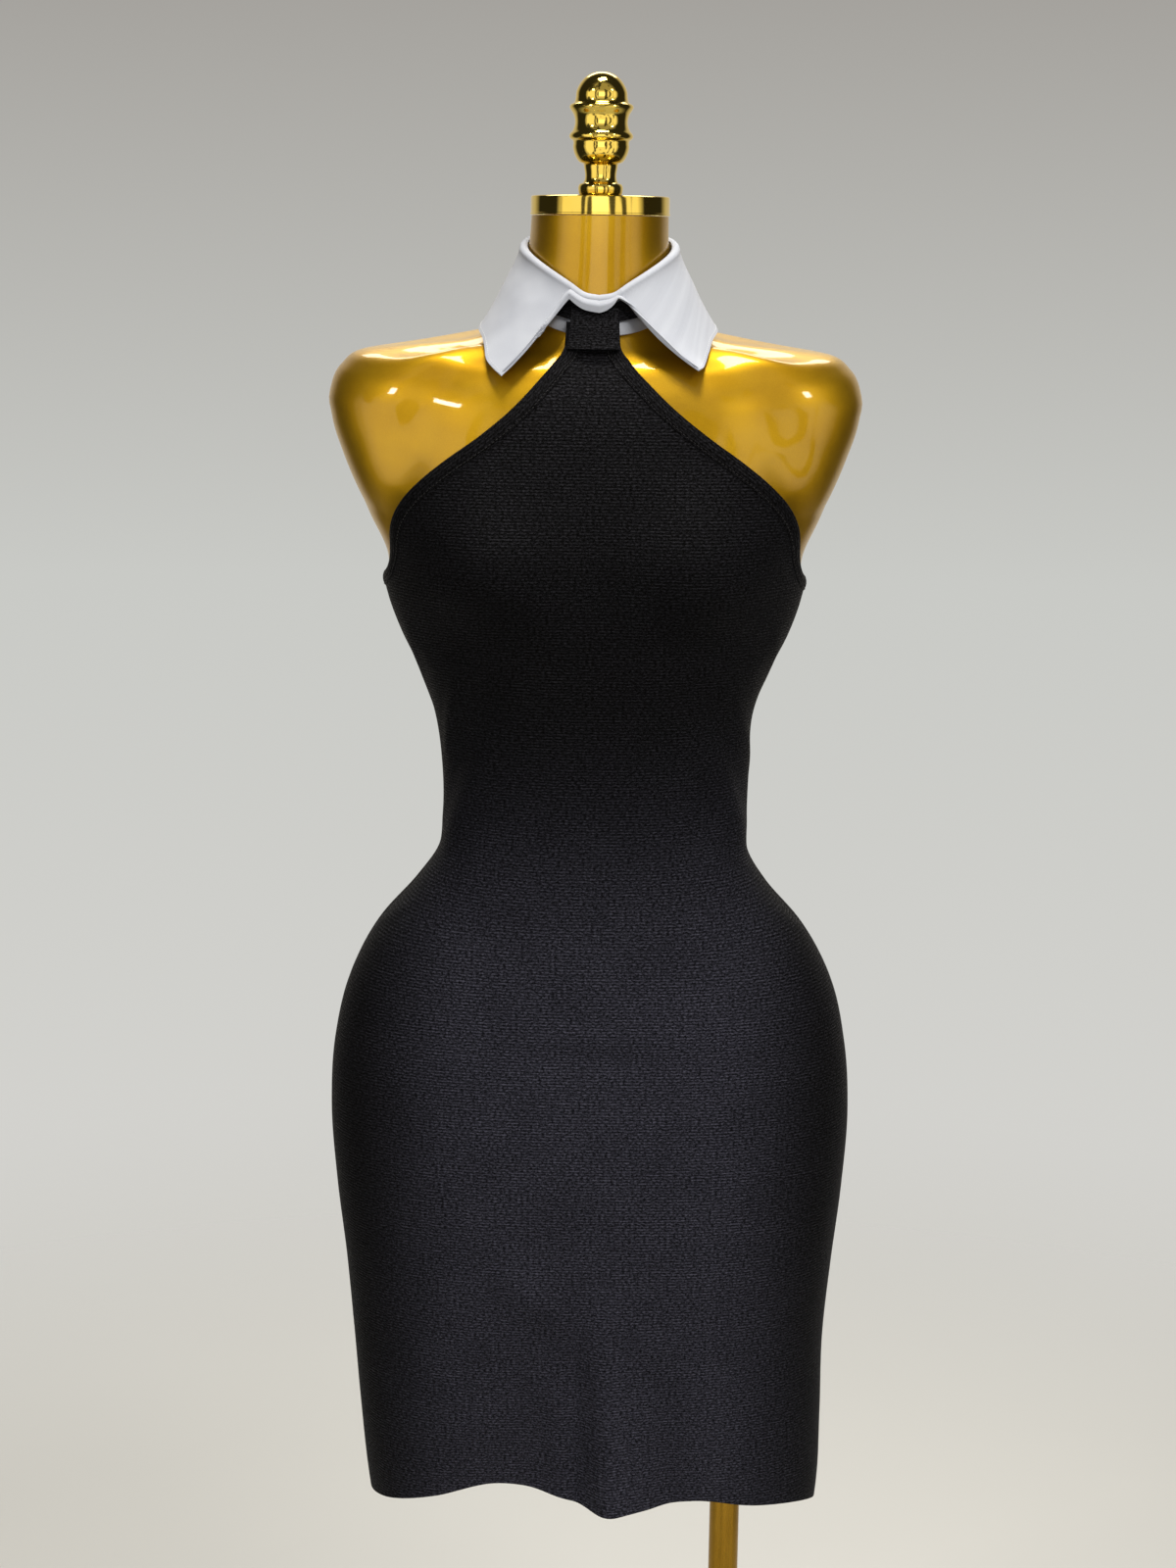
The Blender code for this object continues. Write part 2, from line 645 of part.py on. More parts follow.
def pole(material, collection, low, high):
    """Straight round pole from the plate up into the socket."""
    mesh = bpy.data.meshes.new("pole")
    shape = bmesh.new()
    bmesh.ops.create_cone(shape, cap_ends=True, segments=24, radius1=POLE_RADIUS * MM,
                          radius2=POLE_RADIUS * MM, depth=(high - low) * MM)
    shape.to_mesh(mesh)
    shape.free()
    made = new_object("pole", mesh, material, collection)
    made.location = (POLE_X * MM, 0, (high + low) / 2 * MM)
    return made


def main():
    for old in list(bpy.data.objects):
        bpy.data.objects.remove(old, do_unlink=True)
    collection = bpy.data.collections.new("bodycon_dress_on_form")
    bpy.context.scene.collection.children.link(collection)

    black_knit = painted("black rib knit", (0.012, 0.012, 0.014), 0.75, 0.0)
    white_cotton = painted("white collar cloth", (0.82, 0.84, 0.88), 0.8, 0.0)
    black_plastic = painted("black button", (0.01, 0.01, 0.01), 0.35, 0.0)
    gilt_paint = painted("gold lacquer", (0.62, 0.38, 0.07), 0.35, 0.9)
    brass = painted("polished brass plate", (0.85, 0.62, 0.12), 0.08, 1.0)

    dress_front(black_knit, collection)
    dress_back(black_knit, collection)
    edge_binding("edge_binding_right", 1, black_knit, collection)
    edge_binding("edge_binding_left", -1, black_knit, collection)
    back_binding(black_knit, collection)
    neck_tab(black_knit, collection)
    neckband(black_knit, collection)
    neckband_button(black_plastic, collection)
    collar_stand(white_cotton, collection)
    collar_fall(white_cotton, collection)

    socket_height = SOCKET[0][1]
    socket_z = FORM_FOOT - SEAM_GAP - socket_height
    form_body(gilt_paint, collection)
    cap_z = FORM_LEVELS[-1] + SEAM_GAP
    finial_z = cap_z + CAP[0][1] + SEAM_GAP
    pole_z = PLATE[0][1] + SEAM_GAP
    turned_object("neck_cap", CAP, 0, cap_z, brass, collection)
    turned_object("finial", FINIAL, 0, finial_z, brass, collection)
    turned_object("pole_socket", SOCKET, POLE_X, socket_z, brass, collection)
    turned_object("pole_foot_ring", FOOT_RING, POLE_X, pole_z, brass, collection)
    turned_object("base_plate", PLATE, 0, 0, brass, collection)
    pole(brass, collection, pole_z, socket_z - SEAM_GAP)


main()
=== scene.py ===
"""Looks of a halter bodycon dress in black rib knit with a white shirt collar, on a gilt limbless form.

The cloth pieces repeat the figure of the CAD model at finer steps: each is a thin shell on its
solid's form, with its creases laid in one by one.  A place on the figure is a level, which is the
height at the centre front, and a turn, which is the angle round from the centre front towards +X.
Tables are in millimetres and degrees.  Meshes are in metres.
"""

import math

import bpy
import numpy as np
from mathutils import Matrix, Vector
from mathutils.bvhtree import BVHTree


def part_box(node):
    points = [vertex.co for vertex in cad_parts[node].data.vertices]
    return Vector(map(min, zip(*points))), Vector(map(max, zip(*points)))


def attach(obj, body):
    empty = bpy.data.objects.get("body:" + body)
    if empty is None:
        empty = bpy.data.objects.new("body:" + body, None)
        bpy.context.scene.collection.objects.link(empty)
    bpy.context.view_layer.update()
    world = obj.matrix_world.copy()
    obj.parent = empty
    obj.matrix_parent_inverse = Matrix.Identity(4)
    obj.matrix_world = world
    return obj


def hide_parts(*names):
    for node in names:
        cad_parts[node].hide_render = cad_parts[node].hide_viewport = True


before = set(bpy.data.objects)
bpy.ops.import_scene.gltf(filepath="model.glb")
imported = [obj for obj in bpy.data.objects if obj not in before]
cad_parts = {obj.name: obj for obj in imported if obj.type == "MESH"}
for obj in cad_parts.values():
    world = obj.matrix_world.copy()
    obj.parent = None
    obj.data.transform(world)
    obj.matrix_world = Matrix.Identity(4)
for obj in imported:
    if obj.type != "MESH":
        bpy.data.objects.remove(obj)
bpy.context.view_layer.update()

MM = 0.001

# Cloth.
KNIT = 2.0              # wall of the rib knit panels
BOUND_EDGE = 3.0        # wall of the folded edge binding
COLLAR_WALL = 1.5       # wall of the collar and of its black band
EASE = 1.8              # air between the form and the knit
SEAM_GAP = 0.3          # air between pieces that are sewn together
BINDING_WIDTH = 9.0
TAB_WIDTH = 34.0
PANEL_TOP = 1381.0      # top of the narrowed front, behind the tab
STAND_PASS = 3.4        # how far that top stands out, to pass over the collar stand
PASS_FROM = 1355.0      # level where it begins to stand out
PASS_OVER = 15.0        # height over which it does so
NECK_SHIFT = -3.2       # the worn neck of the dress sits that far to one side
NECK_SHIFT_LEVELS = (1290.0, 1370.0)
SEAM_DIP = 0.7          # how far the knit sinks into the side seam
SEAM_DIP_WIDE = 3.0
SEAM_RADIUS = 100.0     # rough radius of the figure's sides, which gives the dip its width
KNIT_ROUND = 0.7        # rounding of the cut edges of each kind of cloth
BOUND_ROUND = 1.1
TAB_ROUND = 0.6
COLLAR_ROUND = 0.5

# The worn figure, from the hem to the top of the neck.
FIGURE_COLUMNS = ("front_z", "side_z", "back_z", "half_width", "front", "back",
                  "square_front", "square_back", "lean")
FIGURE = (
    (465, 465, 465, 167, 95, 90, 2.5, 2.3, 8),
    (500, 500, 500, 172, 97, 92, 2.5, 2.3, 7.5),
    (560, 560, 560, 175, 99, 97, 2.6, 2.3, 5),
    (620, 620, 620, 177, 101, 104, 2.6, 2.3, 2.5),
    (680, 680, 680, 181.5, 103, 115, 2.7, 2.3, 2),
    (740, 740, 740, 188, 104, 127, 2.7, 2.3, 1.5),
    (800, 800, 800, 191.5, 104, 132, 2.7, 2.3, 1),
    (850, 850, 850, 188, 102, 126, 2.7, 2.3, 0.5),
    (900, 900, 900, 175.5, 98, 112, 2.6, 2.3, 0.5),
    (937, 937, 937, 155, 92, 98, 2.5, 2.3, 0),
    (968, 968, 968, 128, 85, 86, 2.4, 2.3, 0),
    (993, 993, 993, 112, 79, 78, 2.3, 2.3, 1),
    (1020, 1020, 1020, 109.5, 75, 71, 2.2, 2.3, 2),
    (1060, 1060, 1060, 110, 76, 68, 2.2, 2.3, 2),
    (1100, 1100, 1100, 114, 82, 70, 2.2, 2.3, 0),
    (1131, 1131, 1131, 124.5, 89, 73, 2.2, 2.3, 0),
    (1160, 1160, 1160, 138.5, 95, 77, 2.2, 2.4, 0),
    (1193, 1193, 1193, 149, 101, 81, 2.2, 2.5, -0.5),
    (1216, 1216, 1216, 151, 104, 84, 2.3, 2.6, -0.5),
    (1244, 1244, 1244, 163.5, 103, 86, 2.4, 2.6, -1),
    (1287, 1287, 1287, 180, 98, 86, 2.5, 2.6, -1.5),
    (1315, 1315, 1316, 188.5, 92, 84, 2.6, 2.6, -1.5),
    (1329, 1331, 1336, 190.5, 87, 80, 2.6, 2.6, -1.5),
    (1341, 1350, 1352, 183, 80, 75, 2.5, 2.5, -1.5),
    (1350, 1361, 1366, 166, 74, 70, 2.4, 2.4, -1.5),
    (1356, 1364, 1378, 136, 69, 66, 2.3, 2.3, -1),
    (1361, 1368.5, 1388, 94, 66, 63, 2.2, 2.2, -1),
    (1367, 1378, 1397, 74, 63, 60, 2.1, 2.1, -1),
    (1376, 1397, 1408, 60, 59.5, 57.5, 2.0, 2.0, -1),
    (1392, 1415, 1420, 54, 56, 54.5, 2.0, 2.0, -1),
    (1425, 1436, 1438, 50, 51.5, 51, 2.0, 2.0, -0.5),
    (1456, 1456, 1456, 49, 49, 49, 2.0, 2.0, 0),
)

# The two rounds of the bust, which the knit bridges between.
BUST_X = 74.0
BUST_Z = 1206.0
BUST_RISE = 19.0
BUST_WIDE = 42.0
BUST_ABOVE = 58.0
BUST_BELOW = 36.0
FORM_BUST = 0.8         # the form's bust, as a share of the bust that the knit shows

# Main folds of the skirt: where each lies at the hem and at its upper end,
# how high it reaches, how far it stands out (less than nothing is a trough) and its half width.
FOLD_BASE = 480.0
FOLD_FADE = 1.5         # power by which a fold dies away towards its upper end
FOLD_COLUMNS = ("turn_hem", "turn_end", "end_z", "rise", "half_width")
FOLDS = (
    (6, 4, 690, 12, 20),
    (-24, -18, 680, -17, 28),
    (-50, -46, 640, 5, 30),
    (24, 20, 590, -5, 26),
    (52, 48, 650, 4, 34),
    (84, 84, 700, -4, 22),
    (-86, -86, 660, -3, 22),
    (118, 122, 640, 5, 34),
    (-122, -126, 660, 6, 34),
    (152, 150, 610, -8, 30),
    (-158, -154, 630, -6, 28),
    (-178, -180, 600, 6, 26),
)

# Creases drawn by the pull of the knit, from one place to another, each fading at both ends.
CREASE_FADE = 0.7       # power of the swell along a crease: the less, the blunter its ends
CREASE_COLUMNS = ("turn_from", "level_from", "turn_to", "level_to", "rise", "half_width")
CREASES = (
    (-14, 1172, -62, 1150, -2.4, 15),       # hollows under the bust
    (14, 1172, 62, 1150, -2.2, 15),
    (-10, 1146, -72, 990, 3.2, 14),         # front edges of the waist, out and down to the hips
    (12, 1148, 78, 990, 3.0, 15),
    (-26, 1138, -80, 1016, -1.5, 11),
    (28, 1136, 84, 1012, -1.5, 12),
    (-42, 1146, -72, 1066, 2.0, 6),         # short pulls from under the bust to the side seam
    (30, 1150, 88, 1058, 1.6, 8),
    (-62, 1172, -86, 1106, 1.4, 7),
    (58, 1170, 86, 1118, 1.2, 6),
    (-18, 877, 28, 874, 1.3, 10),           # lower edge of the belly
    (-12, 862, 22, 860, -1.0, 9),
    (-60, 962, -84, 936, 0.9, 7),           # drag lines where the waist runs into the hips
    (58, 966, 84, 930, 1.0, 8),
    (4.0, 690, 3.4, 400, 4.0, 7),           # the sharp pleat at the centre of the hem
    (-2.8, 672, -3.2, 400, -8.0, 9),
    (-12, 664, -15, 405, -6.0, 15),
    (-22, 700, -2, 650, 2.2, 11),           # the dome over the pleat
    (2, 676, 24, 616, 1.8, 11),
    (19, 650, 18, 420, -2.4, 9),
    (150, 1052, 208, 1046, 1.8, 8),         # slack over the small of the back
    (158, 1030, 196, 1034, -1.3, 7),
    (164, 1016, 214, 1008, 1.5, 8),
    (128, 1078, 104, 1028, 1.3, 9),
    (-132, 1074, -108, 1034, 1.1, 8),
    (146, 1150, 112, 1104, 1.2, 10),
    (-150, 1146, -116, 1110, 1.4, 10),
    (148, 748, 172, 734, -1.4, 9),          # under the seat
    (-150, 744, -174, 732, -1.3, 10),
    (136, 936, 112, 900, 0.9, 9),
    (-138, 930, -110, 902, 1.0, 8),
)

# Hem: its level by the turn from the centre front.
HEM_COLUMNS = ("turn", "level")
HEM = (
    (-180, 494),
    (-150, 493),
    (-120, 489),
    (-90, 490),
    (-57, 500),
    (-40, 512),
    (-24, 524),
    (-10, 519),
    (2, 510),
    (12, 512),
    (26, 515.5),
    (38, 509),
    (50, 504.5),
    (80, 488),
    (90, 486),
    (120, 487),
    (150, 492),
    (180, 494),
)
HEM_ZONE = 546.0        # level above which the rows no longer follow the hem
HEM_ROWS = 15

# Armhole edge of the front: level, and distance round the figure from the centre front.
ARMHOLE = (
    (1364, 18.5),
    (1354, 25.5),
    (1338, 40),
    (1321, 58),
    (1304, 79.5),
    (1288, 102.5),
    (1271, 126),
    (1256, 144.5),
    (1240, 160),
    (1222, 173),
    (1208, 185),
)
ARMHOLE_SEAM = 1198.0   # level of the armhole at the side seam
BACK_EDGE = 1182.0      # level of the top edge at the centre back
BACK_EDGE_CURVE = 2.2   # how soon that edge falls from the side seam to its lowest level
FRONT_ROWS_TOP = 1186.0     # the front's level rows end there, and the back's rows end lower
BACK_ROWS_TOP = 1150.0

# Collar, by the turn round the neck: the stand's foot and fold, then the falling leaf's edge.
STAND_COLUMNS = ("turn", "foot_z", "fold_z", "foot_radius", "fold_radius", "roll")
STAND = (
    (0, 1373, 1399, 62.5, 58.5, 8.2),
    (10, 1373.5, 1401, 62.5, 58.4, 8.0),
    (20, 1375, 1407.5, 62.5, 57.9, 7.4),
    (45, 1384, 1420.5, 62.5, 55.8, 6.2),
    (90, 1404, 1434.5, 60.5, 51.6, 7.0),
    (135, 1411, 1442, 59.0, 51.4, 8.0),
    (180, 1414, 1445, 58.5, 51.6, 11.4),
)
FALL_COLUMNS = ("turn", "edge_turn", "edge_radius", "edge_z")
FALL_BEHIND = (
    (120, 120, 77.5, 1387),
    (150, 150, 77, 1390),
    (181, 181, 78, 1391),
)
FALL = {                # by side, -1 on the left and 1 on the right; each starts at its point's tip
    -1: (
        (21, 37.5, 104, 1346),
        (32, 46, 102.5, 1355),
        (45, 52.5, 99, 1363),
        (66, 66, 91, 1373),
        (90, 90, 82, 1379.5),
        *FALL_BEHIND,
    ),
    1: (
        (14.5, 39.5, 103, 1351),
        (32, 47, 100.5, 1355.5),
        (45, 53, 96, 1362),
        (66, 66, 88.5, 1372.5),
        (90, 90, 81, 1380),
        *FALL_BEHIND,
    ),
}
ROLL_DROP = 1.2         # the fall's roll springs from just below the stand's fold
ROLL_RISE = 2.4
FOLD_PINCH = 0.62       # the pressed fold is that share of the roll that clears the band
ROLL_OPEN = 0.5         # share of the way down the leaf at which the roll is full
LEAF_FLARE = 1.35       # the leaf runs nearly straight from the fold down to its edge
ROLL_START = 130.0      # degrees round the roll at which the fall begins, behind the fold
STRIP_TURN = {-1: 18.0, 1: 11.5}        # where the narrow strip between the two points ends, on each side
STRIP_DROP = 9.5        # height of that strip
STRIP_RISE = {-1: 2.0, 1: 7.0}          # how much its edge rises towards its left and right ends
STRIP_OUT = 0.6         # how far its edge stands out from the roll
LEAF_TURN = {-1: 21.0, 1: 14.5}         # where the front edge of a point leaves the fold
TIP_LIFT = 6.0          # how far the two points stand off the chest
TIP_LIFT_WIDE = 14.0    # degrees of turn over which that lift dies away
TIP_LIFT_START = 3.0    # and over which it comes in past the strip
WAVE_START = 12.0       # degrees past the tip over which the slack of the edge comes in
# The front edge of a point bends that much turn, radius and height on from the strip's end.
LEAF_BEND = {-1: (9.5, 0.5, -8.5), 1: (13.0, 1.5, -6.0)}
LEAF_WAVES = ((5.2, 40.0, 0.9), (11.0, -30.0, 0.5))     # waves per turn, start in degrees, rise
LEAF_MIDDLE = 45.0      # turn past which the columns of a leaf stand further apart
STRIP_STEPS = 13        # columns from the middle of the strip to its end
EDGE_STITCH = 2.3       # from the edge of the fall in to its stitches
NECKBAND_ABOVE_FOOT = 10.0
NECKBAND_BELOW_FOLD = 5.0
BACK_SLIT = 1.0         # degrees from the centre back to each end of the collar
LAP_TURN = 190.0        # where the lapped end of the black band finishes
LAP_START = 171.0       # where it starts to rise over the other end
LAP_RAMP = 5.0
LAP_RISE = 1.9
BUTTON_RADIUS = 4.5
BUTTON_HEIGHT = 1.4
BUTTON_RIM = 0.9        # width of its rim, round a dish
BUTTON_DISH = 0.35
BUTTON_EDGE = 0.3
BUTTON_HOLE = 0.5       # radius of each of the four holes, which stand in a square
BUTTON_HOLE_OUT = 0.9   # from the middle to a hole, along each side

# Neck tab, by height: distance of its inner face from the neck's middle, and half its width.
TAB_COLUMNS = ("z", "radius", "half_width")
TAB = (
    (1364, 74.0, 18.6),
    (1371, 71.1, 18),
    (1381, 68.2, 17),
    (1387, 65.8, 16.6),
    (1392.5, 63.8, 16.4),
)

# The form.
FORM_FOOT = 622.0
FORM_TOP = 1456.0
FOOT_ROUND = 18.0       # height of the rounding at the form's foot
FOOT_INSET = 34.0
FORM_TUCK = 3.2         # how much slimmer the form is where the knit hides it
TUCK_LEVELS = (1140.0, 1180.0)
FORM_SIDES = 144
ROUGH_RADIUS = 150.0    # the torso is extruded at that radius before it takes its shape

# Hollows and rounds drawn on the form as creases are, on the left; the same again on the right.
FORM_RELIEF = (
    (-27, 1372, -46, 1262, -4.0, 17),   # hollow between the shoulder and the chest
    (-42, 1298, -66, 1210, -4.5, 17),
    (-62, 1356, -68, 1250, 4.5, 34),    # round of the shoulder
)
COLLARBONE = (98.0, -50.0, 3.2, 40.0, 8.0)      # middle x and y, rise, half length, half width
HOLLOW = (104.0, -27.0, -6.0, 36.0, 13.0)       # the same for the hollow behind it
COLLARBONE_SLANT = 0.25
COLLARBONE_LEVELS = (1344.0, 1352.0, 1380.0, 1392.0)    # where the relief comes in and goes out
POLE_CHAMFER = 0.8

# Turned profiles, from the top down: radius, height above the piece's foot.
FINIAL = (
    (0, 86), (6, 85), (11.5, 82), (15.5, 77.5), (18, 72), (18.6, 67), (19.4, 64.5), (22.4, 62.5),
    (22.8, 61), (22, 59.5), (19.6, 55.5), (18.8, 50.5), (20.4, 45), (22.4, 42.5), (22.8, 41), (22.2, 39.5),
    (20.2, 38), (20, 33), (18.4, 27.5), (15.4, 23.2), (12.2, 21.4), (12, 20), (12, 10), (13, 8.6),
    (15, 8), (15.7, 6.8), (15.7, 2.4), (15.2, 0.8), (14.6, 0),
)
FINIAL_RINGS = 110
CAP = ((48.4, 13.6), (49.4, 13), (49.6, 12), (49.6, 1.8), (50, 1.5), (50, 0.5), (49.4, 0))
PLATE = ((185, 10), (194, 8.6), (199, 6), (200, 3.5), (200, 1.2), (198.8, 0))
FOOT_RING = ((14.5, 16), (15.6, 14.6), (16.2, 8), (20.5, 5.6), (27, 4.2), (28, 3), (28, 0))
SOCKET = ((26, 14), (26, 11), (24.6, 9.8), (17.5, 8.4), (16.4, 6), (16.2, 1), (15.4, 0))
LEAST_RADIUS = 0.01     # of a tip, so that its ring can still be resized


def curve_through(table, columns):
    """Return a function that reads every column of a table on one smooth curve through its rows."""
    rows = np.array(table, dtype=float)
    at = rows[:, 0]
    slopes = np.gradient(rows, at, axis=0)

    def read(place):
        place = np.clip(np.asarray(place, dtype=float), at[0], at[-1])
        i = np.clip(np.searchsorted(at, place, side="right") - 1, 0, len(at) - 2)
        step = (at[i + 1] - at[i])[..., None]
        u = (place - at[i])[..., None] / step
        value = (
            rows[i] * (2 * u**3 - 3 * u**2 + 1)
            + slopes[i] * step * (u**3 - 2 * u**2 + u)
            + rows[i + 1] * (3 * u**2 - 2 * u**3)
            + slopes[i + 1] * step * (u**3 - u**2)
        )
        return dict(zip(columns, np.moveaxis(value, -1, 0)))

    return read


figure_row = curve_through(FIGURE, FIGURE_COLUMNS)
stand_row = curve_through(STAND, STAND_COLUMNS)
fall_rows = {side: curve_through(rows, FALL_COLUMNS) for side, rows in FALL.items()}
hem_row = curve_through(HEM, HEM_COLUMNS)
tab_row = curve_through(TAB, TAB_COLUMNS)


def bump(distance, half_width):
    """Soft rise of one at no distance, nearly nothing past two half widths."""
    return np.exp(-(distance / half_width) ** 2)


def wrapped(turn):
    """The same turn (radians) counted from the centre front the shorter way."""
    return (turn + math.pi) % (2 * math.pi) - math.pi


def eased(share):
    """Share from 0 to 1 that starts and ends gently."""
    share = np.clip(share, 0, 1)
    return share * share * (3 - 2 * share)


# ---------------------------------------------------------------- the figure and the knit on it

def figure_points(turns, level, out=0.0, bust_share=1.0):
    """Points of the figure at some turns (radians) of some levels, moved out of the skin."""
    row = figure_row(level)
    turns = np.asarray(turns, dtype=float)
    s, c = np.sin(turns), np.cos(turns)
    facing = c >= 0
    square = np.where(facing, row["square_front"], row["square_back"])
    deep = np.where(facing, row["front"], row["back"])
    swell = (np.abs(s) ** square + np.abs(c) ** square) ** (-1 / square)
    across, along = swell * s, -swell * c
    normal = np.stack([
        np.sign(across) * np.abs(across) ** (square - 1) / row["half_width"],
        np.sign(along) * np.abs(along) ** (square - 1) / deep,
    ], axis=-1)
    normal /= np.linalg.norm(normal, axis=-1, keepdims=True)
    end_z = np.where(facing, row["front_z"], row["back_z"])
    x = row["half_width"] * across
    y = deep * along
    z = end_z + (row["side_z"] - end_z) * s**2
    reach_z = np.where(z > BUST_Z, BUST_ABOVE, BUST_BELOW)
    bust = BUST_RISE * (bump(x - BUST_X, BUST_WIDE) + bump(x + BUST_X, BUST_WIDE))
    out = out + bust_share * bust * bump(z - BUST_Z, reach_z) * np.clip(c * 3, 0, 1)
    return np.stack([x + row["lean"] + normal[..., 0] * out, y + normal[..., 1] * out, z], axis=-1)


FINE_TURNS = np.radians(np.linspace(-180, 180, 721))


def reach_table(level):
    """Distance round the figure from the centre front at each of the fine turns."""
    points = figure_points(FINE_TURNS, level, EASE)
    steps = np.linalg.norm(np.diff(points, axis=0), axis=1)
    lengths = np.concatenate([[0], np.cumsum(steps)])
    return lengths - lengths[len(lengths) // 2]


def reach_to_turn(level, reach):
    """Turn of the place that lies at a distance round the figure from the centre front."""
    return np.interp(reach, reach_table(level), FINE_TURNS)


def turn_to_reach(level, turn):
    """Distance round the figure from the centre front to a turn."""
    return np.interp(turn, FINE_TURNS, reach_table(level))


def seam_reach(level):
    """Distance round the figure from the centre front to the side seam."""
    return float(turn_to_reach(level, math.pi / 2))


def mean_radius(level):
    """Rough radius of the figure at a level, by which turns become distances."""
    row = figure_row(level)
    return (row["half_width"] + row["front"]) / 2


def fold_rise(turns, level):
    """How far the skirt's main folds move the knit out."""
    rise = np.zeros_like(turns)
    radius = mean_radius(level)
    for fold in FOLDS:
        fold = dict(zip(FOLD_COLUMNS, fold))
        up = np.clip((level - FOLD_BASE) / (fold["end_z"] - FOLD_BASE), 0, 1)
        strength = (1 - up) ** FOLD_FADE
        middle = np.radians(fold["turn_hem"] + (fold["turn_end"] - fold["turn_hem"]) * up)
        rise += fold["rise"] * strength * bump(wrapped(turns - middle) * radius, fold["half_width"])
    return rise


def crease_rise(turns, level, creases=CREASES):
    """How far drawn creases move a surface out."""
    rise = np.zeros_like(turns)
    radius = mean_radius(level)
    for crease in creases:
        crease = dict(zip(CREASE_COLUMNS, crease))
        start = math.radians(crease["turn_from"])
        run_turn = wrapped(math.radians(crease["turn_to"]) - start)
        run_up = crease["level_to"] - crease["level_from"]
        across = wrapped(turns - start) * radius
        up = level - crease["level_from"]
        run = run_turn * radius
        share = np.clip((across * run + up * run_up) / (run**2 + run_up**2), 0, 1)
        apart = np.hypot(across - share * run, up - share * run_up)
        fade = np.sin(math.pi * np.clip(share, 0.001, 0.999)) ** CREASE_FADE
        rise += crease["rise"] * fade * bump(apart, crease["half_width"])
    return rise


def over_collar(level):
    """How far the top of the front panel stands out to pass over the collar stand's foot."""
    return STAND_PASS * np.clip((level - PASS_FROM) / PASS_OVER, 0, 1)


def seam_dip(turns):
    """How far the knit sinks towards the side seams."""
    apart = (np.abs(wrapped(turns)) - math.pi / 2) * SEAM_RADIUS
    return -SEAM_DIP * bump(apart, SEAM_DIP_WIDE)


def knit_points(turns, level, out=0.0):
    """The knit's inner face moved out by some distance, with its folds, creases and seams."""
    turns = np.asarray(turns, dtype=float)
    level = np.asarray(level, dtype=float) + np.zeros_like(turns)
    rise = fold_rise(turns, level) + crease_rise(turns, level) + seam_dip(turns)
    points = figure_points(turns, level, EASE + over_collar(level) + rise + out)
    low, high = NECK_SHIFT_LEVELS
    points[..., 0] += NECK_SHIFT * eased((level - low) / (high - low))
    return points


def hem_level(turn):
    """Level of the hem at a turn (radians)."""
    return hem_row(np.degrees(wrapped(turn)))["level"]


def armhole_edge(stations):
    """Armhole edge of the front at even stations from the neck to the side seam.

    Returns the reach and level of each station, and the direction there into the panel.
    """
    neck = [(TAB_WIDTH / 2 - 0.5, PANEL_TOP), (TAB_WIDTH / 2, PANEL_TOP - 7)]
    seam = [(seam_reach(ARMHOLE_SEAM), ARMHOLE_SEAM)]
    edge = np.array(neck + [(reach, level) for level, reach in ARMHOLE] + seam)
    lengths = np.concatenate([[0], np.cumsum(np.linalg.norm(np.diff(edge, axis=0), axis=1))])
    read = curve_through(np.column_stack([lengths, edge]), ("length", "reach", "level"))
    fine = read(np.linspace(0, lengths[-1], 4 * stations + 1))
    edge = np.column_stack([fine["reach"], fine["level"]])
    along = np.gradient(edge, axis=0)
    along /= np.linalg.norm(along, axis=1, keepdims=True)
    inward = np.column_stack([along[:, 1], -along[:, 0]])
    return edge[::4], inward[::4]


def armhole_line(inset, side, stations):
    """Turns and levels along the armhole edge moved into the panel, neck first."""
    edge, inward = armhole_edge(stations)
    line = edge + inward * inset
    line[0, 1] = PANEL_TOP
    turns, levels = [], []
    for i, (reach, level) in enumerate(line):
        seam = seam_reach(level) - SEAM_GAP / 2
        reach = seam if i == len(line) - 1 else min(reach, seam)
        turns.append(float(reach_to_turn(level, reach)) * side)
        levels.append(level)
    return np.array(turns), np.minimum.accumulate(np.array(levels))


# ---------------------------------------------------------------- making cloth pieces

def grid_faces(rows, columns):
    """Faces between neighbouring points of a grid, counted row by row."""
    return [
        (r * columns + c, r * columns + c + 1, (r + 1) * columns + c + 1, (r + 1) * columns + c)
        for r in range(rows - 1)
        for c in range(columns - 1)
    ]


def mesh_piece(name, vertices, faces, material):
    """A smooth object made of points (metres) and the faces between them."""
    mesh = bpy.data.meshes.new(name)
    mesh.from_pydata(vertices, [], faces)
    mesh.shade_smooth()
    mesh.materials.append(material)
    made = bpy.data.objects.new(name, mesh)
    bpy.context.scene.collection.objects.link(made)
    return made


def sheet_mesh(name, grid, cloth_uv, wall, material, edge_round, even=True):
    """A wall of cloth on a grid of points (mm), rows running up and columns towards +X.

    cloth_uv gives each point's place on the flat cloth in metres, across and along.
    """
    rows, columns, _ = grid.shape
    faces = grid_faces(rows, columns)
    made = mesh_piece(name, (grid.reshape(-1, 3) * MM).tolist(), faces, material)
    corners = cloth_uv.reshape(-1, 2)[np.array(faces).reshape(-1)]
    layer = made.data.uv_layers.new(name="cloth")
    layer.data.foreach_set("uv", corners.astype(np.float32).reshape(-1))
    solidify = made.modifiers.new("Wall", "SOLIDIFY")
    solidify.thickness = wall * MM
    solidify.offset = 1.0
    solidify.use_even_offset = even
    bevel = made.modifiers.new("Soft edge", "BEVEL")
    bevel.width = edge_round * MM
    bevel.segments = 3
    bevel.limit_method = "ANGLE"
    bevel.angle_limit = math.radians(55)
    return made


def placed(piece, node):
    """Put a piece in the frame, in place of one CAD node."""
    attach(piece, "root")
    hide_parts(node)
    return piece


def sewn(piece):
    """Put a row of stitches in the frame."""
    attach(piece, "root")
    return piece


